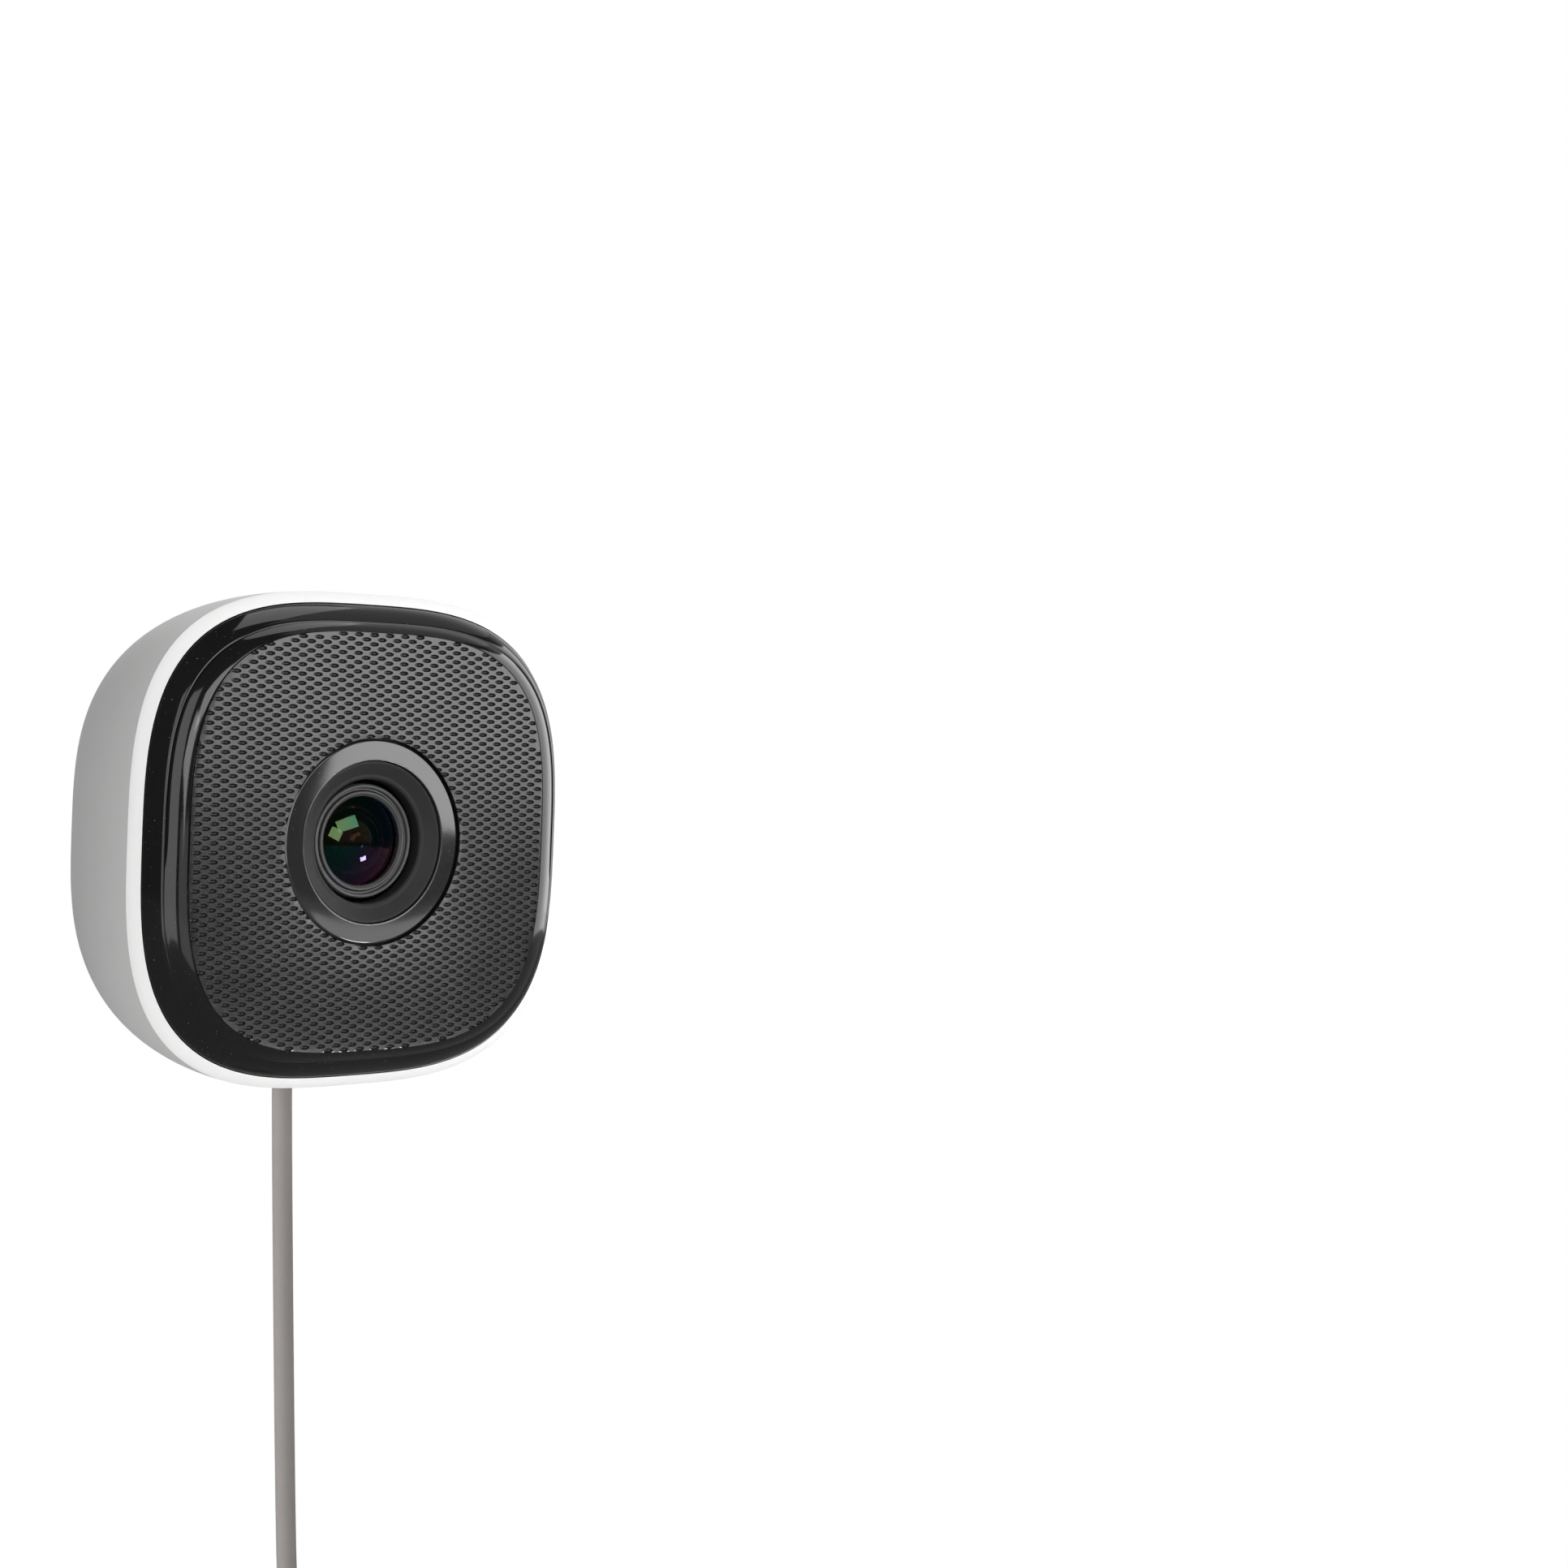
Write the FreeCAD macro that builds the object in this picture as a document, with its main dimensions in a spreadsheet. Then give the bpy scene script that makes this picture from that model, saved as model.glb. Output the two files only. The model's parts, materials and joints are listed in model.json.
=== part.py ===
import FreeCAD, Part

import math
import os

import Sketcher

# Security camera in a cushion-shaped housing, with its lead.
# Millimetres. +Z is up and the lens looks along -Y. The origin is the mouth of the
# stand's thread, in the middle of the flat back, on the lens axis. "Forward" is the
# distance from the flat back towards the lens, so a forward of 10 is at y = -10.

Vector = FreeCAD.Vector

SIZES = {
    # housing
    "outline_half_width": 37.3,
    "outline_half_height": 36.1,
    "outline_power": 3.12,
    "rim_reach": 1.75,
    "rim_depth": 1.3,
    "rim_roundness": 1.5,
    "shell_depth": 42.0,
    "side_sweep": 51.8,
    "shell_wall": 2.2,
    "back_wall": 2.2,
    "back_round": 5.0,
    "mouth_gap": 0.15,
    "seat_depth": 3.4,
    # gloss bezel and dotted front plate
    "skirt_wall": 1.8,
    "crease_half_width": 35.2,
    "crease_half_height": 33.4,
    "crease_rise": 2.6,
    "shoulder_roundness": 1.35,
    "band_rise": 1.3,
    "plate_half_width": 31.9,
    "plate_half_height": 31.85,
    "plate_power": 3.2,
    "plate_thickness": 1.6,
    "plate_proud": 0.1,
    "plate_gap": 0.15,
    "panel_thickness": 1.4,
    # lens surround
    "ring_radius": 15.8,
    "ring_land": 3.0,
    "ring_recess": 0.2,
    "ring_dish": 0.3,
    "surround_gap": 0.15,
    "hood_drop": 0.05,
    "hood_dip": 0.5,
    "hood_hole": 9.2,
    "hood_flange_reach": 2.35,
    "hood_flange": 1.2,
    # lens barrel and glass
    "barrel_radius": 8.73,
    "barrel_setback": 3.0,
    "barrel_head": 7.0,
    "barrel_length": 15.5,
    "barrel_lip_wall": 0.7,
    "barrel_lip_depth": 0.6,
    "front_bore": 7.8,
    "front_bore_depth": 4.0,
    "neck_radius": 6.0,
    "inner_bore": 5.0,
    "rear_bore_depth": 4.0,
    "stop_length": 2.0,
    "stop_radius": 3.4,
    "glass_radius": 6.8,
    "glass_shoulder": 2.4,
    "glass_step": 1.0,
    "glass_dome": 15.0,
    "glass_middle": 1.8,
    "glass_hollow": 5.4,
    "retainer_opening": 6.885,
    "retainer_height": 1.4,
    "lens_gap": 0.1,
    "middle_lens_edge": 2.0,
    "rear_lens_edge": 1.6,
    "inner_dome": 9.0,
    "rear_retainer": 0.8,
    "rear_retainer_wall": 0.65,
    # lens holder and sensor
    "sensor_setback": 24.0,
    "holder_base_width": 18.0,
    "holder_base_height": 3.5,
    "holder_length": 12.0,
    "holder_wall": 1.5,
    "well_radius": 5.6,
    "well_depth": 3.0,
    "well_window": 3.6,
    "lock_ring_height": 1.2,
    "lock_ring_radius": 8.2,
    "filter_width": 7.6,
    "filter_thickness": 0.5,
    "sensor_width": 7.6,
    "sensor_height": 6.4,
    "sensor_thickness": 1.2,
    # circuit boards and their screws
    "board_thickness": 1.6,
    "board_width": 44.0,
    "board_height": 38.0,
    "board_screw_x": 19.0,
    "board_screw_z": 16.0,
    "post_radius": 2.4,
    "standoff_height": 7.3,
    "screw_radius": 0.9,
    "screw_head_radius": 1.9,
    "screw_head_height": 1.3,
    "screw_bite": 5.0,
    "screw_gap": 0.1,
    "socket_radius": 0.9,
    "socket_depth": 0.7,
    # case screws, hidden under the front plate
    "case_screw_x": 23.5,
    "case_screw_z": 22.5,
    "case_screw_radius": 1.15,
    "case_head_radius": 2.2,
    "case_head_height": 1.0,
    "case_head_sink": 0.1,
    "case_screw_bite": 10.0,
    "case_post_radius": 2.6,
    "case_pad_radius": 3.4,
    "case_pad_depth": 3.0,
    # infrared lamp board and microphone
    "lamp_board_rise": 22.5,
    "lamp_board_width": 30.0,
    "lamp_board_height": 8.0,
    "lamp_board_thickness": 1.0,
    "lamp_boss_spread": 12.6,
    "lamp_boss_length": 2.5,
    "lamp_boss_radius": 1.6,
    "lamp_screw_radius": 0.6,
    "lamp_screw_head": 1.3,
    "lamp_screw_head_height": 0.8,
    "lamp_screw_bite": 1.8,
    "lamp_size": 3.0,
    "lamp_height": 1.8,
    "lamp_near": 4.6,
    "lamp_far": 8.6,
    "microphone_width": 3.8,
    "microphone_height": 3.0,
    "microphone_thickness": 1.1,
    # speaker
    "speaker_drop": 23.5,
    "speaker_radius": 7.5,
    "speaker_frame": 1.0,
    "speaker_can_radius": 5.5,
    "speaker_can_length": 3.8,
    "speaker_cone_depth": 0.7,
    "speaker_surround": 1.5,
    "gasket_thickness": 0.6,
    "sound_hole_radius": 5.0,
    # parts on the main board
    "can_width": 20.0,
    "can_height": 18.0,
    "can_depth": 2.4,
    "can_sheet": 0.3,
    "can_x": -6.0,
    "can_z": 3.0,
    "processor_width": 12.0,
    "processor_thickness": 1.2,
    "pad_width": 16.0,
    "pad_height": 14.0,
    "pad_thickness": 0.8,
    "sink_width": 18.0,
    "sink_height": 16.0,
    "sink_base": 1.0,
    "fin_height": 3.2,
    "fin_thickness": 1.0,
    "memory_width": 8.0,
    "memory_height": 10.0,
    "memory_thickness": 1.0,
    "memory_x": 10.0,
    "memory_z": 8.0,
    "radio_width": 11.0,
    "radio_height": 12.0,
    "radio_thickness": 2.2,
    "radio_x": 10.8,
    "radio_z": -8.5,
    "power_socket_width": 7.0,
    "power_socket_height": 5.0,
    "power_socket_depth": 4.0,
    "power_socket_inset": 4.0,
    "connector_width": 3.6,
    "connector_height": 14.0,
    "connector_depth": 2.0,
    "connector_x": 19.0,
    "ribbon_thickness": 0.3,
    "ribbon_width": 12.0,
    "aerial_x": 20.5,
    "aerial_thickness": 0.5,
    "aerial_width": 10.0,
    "aerial_height": 5.0,
    # stand thread in the back
    "thread_bore": 2.6,
    "insert_radius": 4.5,
    "insert_length": 7.0,
    "insert_flange_reach": 1.1,
    "insert_flange": 0.8,
    "insert_floor": 0.8,
    "insert_gap": 0.1,
    "insert_boss_wall": 2.0,
    # lead outlet in the underside
    "outlet_forward": 22.6,
    "outlet_tip_drop": 38.2,
    "outlet_tip_radius": 2.3,
    "grommet_radius": 3.4,
    "grommet_gap": 0.15,
    "grommet_flange_radius": 5.0,
    "grommet_flange": 1.5,
    "outlet_pad_radius": 6.2,
    "outlet_pad_drop": 31.2,
    "inner_lead_diameter": 1.6,
    # lead, coil and plug
    "lead_diameter": 3.2,
    "coil_radius": 17.6,
    "coil_turns_across": 4.0,
    "coil_slack": 0.4,
    "coil_gap": 0.3,
    "coil_corner": 1.6,
    "coil_centre_x": 16.0,
    "coil_centre_drop": 154.0,
    "coil_lead_in": 11.2,
    "tie_width": 6.0,
    "tie_thickness": 1.0,
    "tie_gap": 0.6,
    "tail_length": 8.0,
    "plug_relief_length": 9.0,
    "plug_relief_radius": 2.9,
    "plug_body_width": 15.6,
    "plug_body_depth": 8.0,
    "plug_body_length": 22.0,
    "plug_body_round": 1.8,
    "plug_shell_width": 12.0,
    "plug_shell_depth": 4.5,
    "plug_shell_length": 12.0,
    "plug_shell_wall": 0.3,
    "plug_tongue_thickness": 1.8,
    "plug_tongue_gap": 0.1,
}

# Distances worked out from the sizes, each bound to them by an expression.
LEVELS = {
    "widest_forward": "Sizes.shell_depth - Sizes.rim_depth",
    "seat_forward": "Sizes.shell_depth - Sizes.seat_depth",
    "crease_forward": "Sizes.shell_depth + Sizes.crease_rise",
    "band_forward": "Levels.crease_forward + Sizes.band_rise",
    "plate_front": "Levels.band_forward + Sizes.plate_proud",
    "plate_back": "Levels.plate_front - Sizes.plate_thickness",
    "panel_back": "Levels.plate_back - Sizes.panel_thickness",
    "ring_front": "Levels.plate_front - Sizes.ring_recess",
    "ring_hole": "Sizes.ring_radius - Sizes.ring_land",
    "hood_front": "Levels.ring_front - Sizes.ring_dish - Sizes.hood_drop",
    "hood_radius": "Levels.ring_hole - Sizes.surround_gap",
    "hood_edge": "Levels.hood_front - Sizes.hood_dip",
    "hood_back": "Levels.panel_back - Sizes.hood_flange",
    "barrel_front": "Levels.plate_front - Sizes.barrel_setback",
    "head_back": "Levels.barrel_front - Sizes.barrel_head",
    "barrel_back": "Levels.barrel_front - Sizes.barrel_length",
    "glass_seat": "Levels.barrel_front - Sizes.front_bore_depth",
    "glass_shoulder": "Levels.glass_seat + Sizes.glass_shoulder",
    "glass_edge": "Levels.glass_shoulder + Sizes.glass_step",
    "retainer_front": "Levels.glass_shoulder + Sizes.retainer_height",
    "stop_back": "Levels.barrel_back + Sizes.rear_bore_depth",
    "stop_front": "Levels.stop_back + Sizes.stop_length",
    "rear_lens_back": "Levels.stop_back - Sizes.rear_lens_edge",
    "sensor_board_front": "Levels.plate_front - Sizes.sensor_setback",
    "sensor_board_back": "Levels.sensor_board_front - Sizes.board_thickness",
    "holder_front": "Levels.sensor_board_front + Sizes.holder_length",
    "well_front": "Levels.sensor_board_front + Sizes.well_depth",
    "thread_start": "Levels.sensor_board_front + Sizes.holder_base_height",
    "main_board_back": "Sizes.back_wall + Sizes.standoff_height",
    "main_board_front": "Levels.main_board_back + Sizes.board_thickness",
    "can_front": "Levels.main_board_front + Sizes.can_depth",
    "pad_front": "Levels.can_front + Sizes.pad_thickness",
    "lamp_board_front": "Levels.panel_back - Sizes.lamp_boss_length",
    "lamp_board_back": "Levels.lamp_board_front - Sizes.lamp_board_thickness",
    "gasket_back": "Levels.panel_back - Sizes.gasket_thickness",
    "case_pad_back": "Levels.panel_back - Sizes.case_pad_depth",
    "case_head_front": "Levels.plate_back - Sizes.case_head_sink",
    "case_head_back": "Levels.case_head_front - Sizes.case_head_height",
    "boss_radius": "Sizes.insert_radius + Sizes.insert_gap + Sizes.insert_boss_wall",
    "flange_front": "Sizes.insert_length + Sizes.insert_flange",
    "grommet_top_drop": "Sizes.outlet_pad_drop - Sizes.grommet_flange",
    "power_socket_drop": "Sizes.board_height / 2 - Sizes.power_socket_inset",
    "coil_half": "Sizes.coil_turns_across * Sizes.lead_diameter / 2 + Sizes.coil_slack / 2",
    "coil_outside": "Sizes.coil_radius + Levels.coil_half",
    "coil_inside": "Sizes.coil_radius - Levels.coil_half",
    "lead_line_x": "Sizes.coil_centre_x - Sizes.coil_lead_in",
    "coil_reach": "sqrt(Levels.coil_outside ^ 2 - Sizes.coil_lead_in ^ 2)",
    "tail_end_drop": "Sizes.coil_centre_drop + Levels.coil_reach + Sizes.tail_length",
    "plug_body_drop": "Levels.tail_end_drop + Sizes.plug_relief_length",
    "plug_shell_drop": "Levels.plug_body_drop + Sizes.plug_body_length",
}

OUTLINE_POINTS = 48
SIDE_SECTIONS = 9
TINY = 1e-3
ROUNDING_STEPS = (0, 0.1, 0.3, 0.55, 0.8, 1)
FORWARD = FreeCAD.Rotation(Vector(1, 0, 0), 90)
DOWN = FreeCAD.Rotation(Vector(1, 0, 0), 180)
CORNERS = ((1, 1), (-1, 1), (-1, -1), (1, -1))

doc = FreeCAD.newDocument("SecurityCamera")
parts = []


def fill_sheet():
    """Writes every driving size to the spreadsheet under its own name."""
    sheet = doc.addObject("Spreadsheet::Sheet", "Sizes")
    for row, (name, value) in enumerate(SIZES.items(), start=1):
        sheet.set(f"A{row}", name)
        sheet.set(f"B{row}", str(value))
        sheet.setAlias(f"B{row}", name)
    doc.recompute()
    return sheet


def fill_levels():
    """Binds each worked-out distance to the spreadsheet."""
    levels = doc.addObject("App::VarSet", "Levels")
    for name, formula in LEVELS.items():
        levels.addProperty("App::PropertyFloat", name, "Levels", "")
        levels.setExpression(name, formula)
        doc.recompute()
    return levels


Sizes = fill_sheet()
Levels = fill_levels()


def value(formula):
    """The number that a formula over Sizes and Levels gives."""
    return float(Sizes.evalExpression(formula))


def bind(item, formulas):
    """Sets an expression on each named property."""
    for name, formula in formulas.items():
        item.setExpression(name, formula)
    return item


def keep(item, label):
    """Lists a finished sub-part, whose label names its file."""
    item.Label = label
    parts.append(item)
    return item


# Primitives and booleans


def cylinder(name, radius, start, length, across="0", rise="0"):
    """A cylinder along the lens axis, from the forward distance start."""
    item = doc.addObject("Part::Cylinder", name)
    item.Placement = FreeCAD.Placement(Vector(), FORWARD)
    return bind(item, {
        "Radius": radius,
        "Height": length,
        ".Placement.Base.x": across,
        ".Placement.Base.y": f"-({start})",
        ".Placement.Base.z": rise,
    })


def block(name, width, height, start, depth, across="0", rise="0"):
    """A box centred on (across, rise) that starts at a forward distance."""
    item = doc.addObject("Part::Box", name)
    return bind(item, {
        "Length": width,
        "Width": depth,
        "Height": height,
        ".Placement.Base.x": f"({across}) - ({width}) / 2",
        ".Placement.Base.y": f"-({start}) - ({depth})",
        ".Placement.Base.z": f"({rise}) - ({height}) / 2",
    })


def ball(name, radius, centre):
    """A sphere centred on the lens axis at a forward distance."""
    item = doc.addObject("Part::Sphere", name)
    return bind(item, {"Radius": radius, ".Placement.Base.y": f"-({centre})"})


def cut(name, base, tool):
    item = doc.addObject("Part::Cut", name)
    item.Base = base
    item.Tool = tool
    return item


def common(name, first, second):
    item = doc.addObject("Part::Common", name)
    item.Base = first
    item.Tool = second
    return item


def fuse(name, items):
    item = doc.addObject("Part::MultiFuse", name)
    item.Shapes = items
    return item


def group(name, items):
    """Several separate solids that share one node."""
    item = doc.addObject("Part::Compound", name)
    item.Links = items
    return item


# PartDesign bodies


def new_body(name, rotation=FORWARD):
    item = doc.addObject("PartDesign::Body", name)
    item.Placement = FreeCAD.Placement(Vector(), rotation)
    return item


def new_sketch(body, plane_role):
    """A sketch on one of the body's own origin planes."""
    sketch = body.newObject("Sketcher::SketchObject", body.Name + "_sketch")
    plane = next(item for item in body.Origin.OriginFeatures if item.Role == plane_role)
    sketch.AttachmentSupport = [(plane, "")]
    sketch.MapMode = "FlatFace"
    return sketch


def hold(sketch, kind, edge, point, formula):
    """Ties one coordinate of a point to a formula, or to the axis where it is nought."""
    if formula == "0":
        axis = -2 if kind == "DistanceX" else -1
        sketch.addConstraint(Sketcher.Constraint("PointOnObject", edge, point, axis))
        return
    index = sketch.addConstraint(Sketcher.Constraint(kind, -1, 1, edge, point, value(formula)))
    sketch.setExpression(f"Constraints[{index}]", formula)


def polygon(sketch, corners):
    """A closed outline with each corner tied to its two formulas."""
    first = sketch.GeometryCount
    count = len(corners)
    places = [Vector(value(x), value(y), 0) for x, y in corners]
    for index in range(count):
        sketch.addGeometry(Part.LineSegment(places[index], places[(index + 1) % count]), False)
    for index in range(count):
        after = first + (index + 1) % count
        sketch.addConstraint(Sketcher.Constraint("Coincident", first + index, 2, after, 1))
    for index, (x, y) in enumerate(corners):
        hold(sketch, "DistanceX", first + index, 1, x)
        hold(sketch, "DistanceY", first + index, 1, y)


def circle(sketch, radius, across, rise):
    """A circle in a sketch, tied by its centre and radius."""
    centre = Vector(value(across), value(rise), 0)
    edge = sketch.addGeometry(Part.Circle(centre, Vector(0, 0, 1), value(radius)), False)
    hold(sketch, "DistanceX", edge, 3, across)
    hold(sketch, "DistanceY", edge, 3, rise)
    index = sketch.addConstraint(Sketcher.Constraint("Radius", edge, value(radius)))
    sketch.setExpression(f"Constraints[{index}]", radius)


def turned(name, profile, rotation=FORWARD):
    """A body turned about its own Z axis from corners of (radius, distance along it)."""
    body = new_body(name, rotation)
    sketch = new_sketch(body, "XZ_Plane")
    polygon(sketch, profile)
    turn = body.newObject("PartDesign::Revolution", name + "_turn")
    turn.Profile = sketch
    turn.ReferenceAxis = (sketch, ["V_Axis"])
    turn.Angle = 360
    body.Tip = turn
    return body


def board(name, width, height, start, thickness, holes, rise="0"):
    """A flat circuit board with round holes, given as (radius, across, rise)."""
    body = new_body(name)
    sketch = new_sketch(body, "XY_Plane")
    sketch.setExpression(".AttachmentOffset.Base.z", start)
    sides = ((-1, -1), (1, -1), (1, 1), (-1, 1))
    polygon(sketch, [
        (f"{x} * ({width}) / 2", f"{rise} + {z} * ({height}) / 2") for x, z in sides
    ])
    for radius, hole_across, hole_rise in holes:
        circle(sketch, radius, hole_across, hole_rise)
    pad = body.newObject("PartDesign::Pad", name + "_pad")
    pad.Profile = sketch
    pad.setExpression("Length", thickness)
    body.Tip = pad
    return body


# Outlines of the housing


def squircle(half_width, half_height, power, forward):
    """The closed curve |x / half_width|^power + |z / half_height|^power = 1."""
    points = []
    for step in range(OUTLINE_POINTS):
        turn = 2 * math.pi * (step + 0.5) / OUTLINE_POINTS
        across = math.cos(turn)
        rise = math.sin(turn)
        sides = abs(across / half_width) ** power + abs(rise / half_height) ** power
        reach = sides ** (-1 / power)
        points.append(Vector(reach * across, -forward, reach * rise))
    curve = Part.BSplineCurve()
    curve.interpolate(Points=points, PeriodicFlag=True)
    return Part.Wire([curve.toShape()])


def skin(sections):
    """A solid through squircles, each given as (half width, half height, power, forward)."""
    return Part.makeLoft([squircle(*section) for section in sections], True, False)


def side_inset(forward):
    """How far the elliptical side wall has drawn in at a forward distance."""
    along = (Levels.widest_forward - forward) / Sizes.side_sweep
    return rim_half_width() * (1 - math.sqrt(1 - along * along))


def rim_half_width():
    return Sizes.outline_half_width + Sizes.rim_reach


def rim_half_height():
    return Sizes.outline_half_height + Sizes.rim_reach


def side_section(forward, wall):
    """The housing's squircle at a forward distance, drawn in by a wall."""
    inset = side_inset(forward) + wall
    return (rim_half_width() - inset, rim_half_height() - inset, Sizes.outline_power, forward)


def spaced(start, end, count):
    return [start + (end - start) * step / (count - 1) for step in range(count)]


def shape_part(label, shape):
    """A sub-part whose shape comes straight from a spline or sweep."""
    item = doc.addObject("Part::Feature", label)
    item.Shape = shape
    return keep(item, label)


def solid_rod(radius, start, end, across=0.0, rise=0.0):
    """A plain cylinder shape along the lens axis, between two forward distances."""
    base = Vector(across, -start, rise)
    return Part.makeCylinder(radius, end - start, base, Vector(0, -1, 0))


# Rear shell


def shell_outside():
    """The cushion-shaped outer form, with a rounded back edge and a chamfered rim."""
    side = skin([
        side_section(forward, 0) for forward in spaced(0, Levels.widest_forward, SIDE_SECTIONS)
    ])
    back_edges = [edge for edge in side.Edges if abs(edge.CenterOfMass.y) < TINY]
    side = side.makeFillet(Sizes.back_round, back_edges)
    return side.fuse(skin([lip_section(inward) for inward in ROUNDING_STEPS]))


def swell(inward, roundness):
    """Rise of a rounded edge, from 0 to 1: a straight chamfer at 1, a quarter round at 2."""
    return (1 - (1 - inward) ** roundness) ** (1 / roundness)


def lip_section(inward):
    """A squircle on the rim's rounded lip, at a share of its reach inwards."""
    inset = Sizes.rim_reach * inward
    forward = Levels.widest_forward + Sizes.rim_depth * swell(inward, Sizes.rim_roundness)
    return (rim_half_width() - inset, rim_half_height() - inset, Sizes.outline_power, forward)


def shell_hollow():
    """The room inside, and the wider mouth that takes the bezel's skirt."""
    room = skin([
        side_section(forward, Sizes.shell_wall)
        for forward in spaced(Sizes.back_wall, Levels.seat_forward, SIDE_SECTIONS)
    ])
    mouth_width = Sizes.outline_half_width + Sizes.mouth_gap
    mouth_height = Sizes.outline_half_height + Sizes.mouth_gap
    mouth = skin([
        (mouth_width, mouth_height, Sizes.outline_power, forward)
        for forward in (Levels.seat_forward, Sizes.shell_depth + Sizes.rim_depth)
    ])
    return room.fuse(mouth)


def shell_posts(outside):
    """Screw posts, board standoffs and the thread's boss, all inside the skin."""
    posts = []
    for side, end in CORNERS:
        place = (side * Sizes.case_screw_x, end * Sizes.case_screw_z)
        posts.append(solid_rod(Sizes.case_post_radius, 0, Levels.case_pad_back, *place))
        place = (side * Sizes.board_screw_x, end * Sizes.board_screw_z)
        posts.append(solid_rod(Sizes.post_radius, 0, Levels.main_board_back, *place))
    posts.append(solid_rod(Levels.boss_radius, 0, Sizes.insert_length))
    pad_base = Vector(0, -Sizes.outlet_forward, -Sizes.outlet_tip_drop)
    pad_height = Sizes.outlet_tip_drop - Sizes.outlet_pad_drop
    posts.append(Part.makeCylinder(Sizes.outlet_pad_radius, pad_height, pad_base))
    return posts[0].multiFuse(posts[1:]).common(outside)


def shell_holes():
    """Pilot holes, the thread insert's bore and the lead's outlet."""
    holes = [solid_rod(Sizes.insert_radius + Sizes.insert_gap, -1, Levels.flange_front)]
    pilot = Sizes.case_screw_radius + Sizes.screw_gap
    case_start = Levels.case_pad_back - Sizes.case_screw_bite - 1
    board_pilot = Sizes.screw_radius + Sizes.screw_gap
    board_start = Levels.main_board_back - Sizes.screw_bite - 1
    for side, end in CORNERS:
        place = (side * Sizes.case_screw_x, end * Sizes.case_screw_z)
        holes.append(solid_rod(pilot, case_start, Levels.case_pad_back + 1, *place))
        place = (side * Sizes.board_screw_x, end * Sizes.board_screw_z)
        holes.append(solid_rod(board_pilot, board_start, Levels.main_board_back + 1, *place))
    outlet_base = Vector(0, -Sizes.outlet_forward, -Sizes.outlet_tip_drop - 1)
    outlet_radius = Sizes.grommet_radius + Sizes.grommet_gap
    outlet_length = Sizes.outlet_tip_drop - Sizes.outlet_pad_drop + 2
    holes.append(Part.makeCylinder(outlet_radius, outlet_length, outlet_base))
    return holes


def make_rear_shell():
    outside = shell_outside()
    shell = outside.cut(shell_hollow()).fuse(shell_posts(outside))
    shape_part("rear_shell", shell.cut(shell_holes()).Solids[0])


# Bezel and front plate


def shoulder_section(toward_crease):
    """A squircle on the bezel's shoulder, at a share of the way in to the crease."""
    width = Sizes.outline_half_width
    height = Sizes.outline_half_height
    width += (Sizes.crease_half_width - width) * toward_crease
    height += (Sizes.crease_half_height - height) * toward_crease
    power = Sizes.outline_power + (Sizes.plate_power - Sizes.outline_power) * toward_crease
    rise = swell(toward_crease, Sizes.shoulder_roundness)
    return (width, height, power, Sizes.shell_depth + Sizes.crease_rise * rise)


def pocket_section(forward):
    return (
        Sizes.plate_half_width + Sizes.plate_gap,
        Sizes.plate_half_height + Sizes.plate_gap,
        Sizes.plate_power,
        forward,
    )


def bezel_solid():
    """The outer form: straight skirt, rounded shoulder and sloping band."""
    skirt = skin([
        (Sizes.outline_half_width, Sizes.outline_half_height, Sizes.outline_power, forward)
        for forward in (Levels.seat_forward, Sizes.shell_depth)
    ])
    shoulder = skin([shoulder_section(inward) for inward in ROUNDING_STEPS])
    band = skin([shoulder_section(1), pocket_section(Levels.band_forward)])
    return skirt.fuse(shoulder).fuse(band)


def bezel_hollow():
    wall = Sizes.skirt_wall
    return skin([
        (
            Sizes.outline_half_width - wall,
            Sizes.outline_half_height - wall,
            Sizes.outline_power,
            forward,
        )
        for forward in (Levels.seat_forward - 1, Levels.panel_back)
    ])


def bezel_posts():
    """Posts for the sensor board, pads for the case screws and the lamp board's bosses."""
    top = Levels.plate_back
    posts = []
    for side, end in CORNERS:
        place = (side * Sizes.board_screw_x, end * Sizes.board_screw_z)
        posts.append(solid_rod(Sizes.post_radius, Levels.sensor_board_front, top, *place))
        place = (side * Sizes.case_screw_x, end * Sizes.case_screw_z)
        posts.append(solid_rod(Sizes.case_pad_radius, Levels.case_pad_back, top, *place))
    for side in (-1, 1):
        place = (side * Sizes.lamp_boss_spread, Sizes.lamp_board_rise)
        posts.append(solid_rod(Sizes.lamp_boss_radius, Levels.lamp_board_front, top, *place))
    return posts


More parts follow.
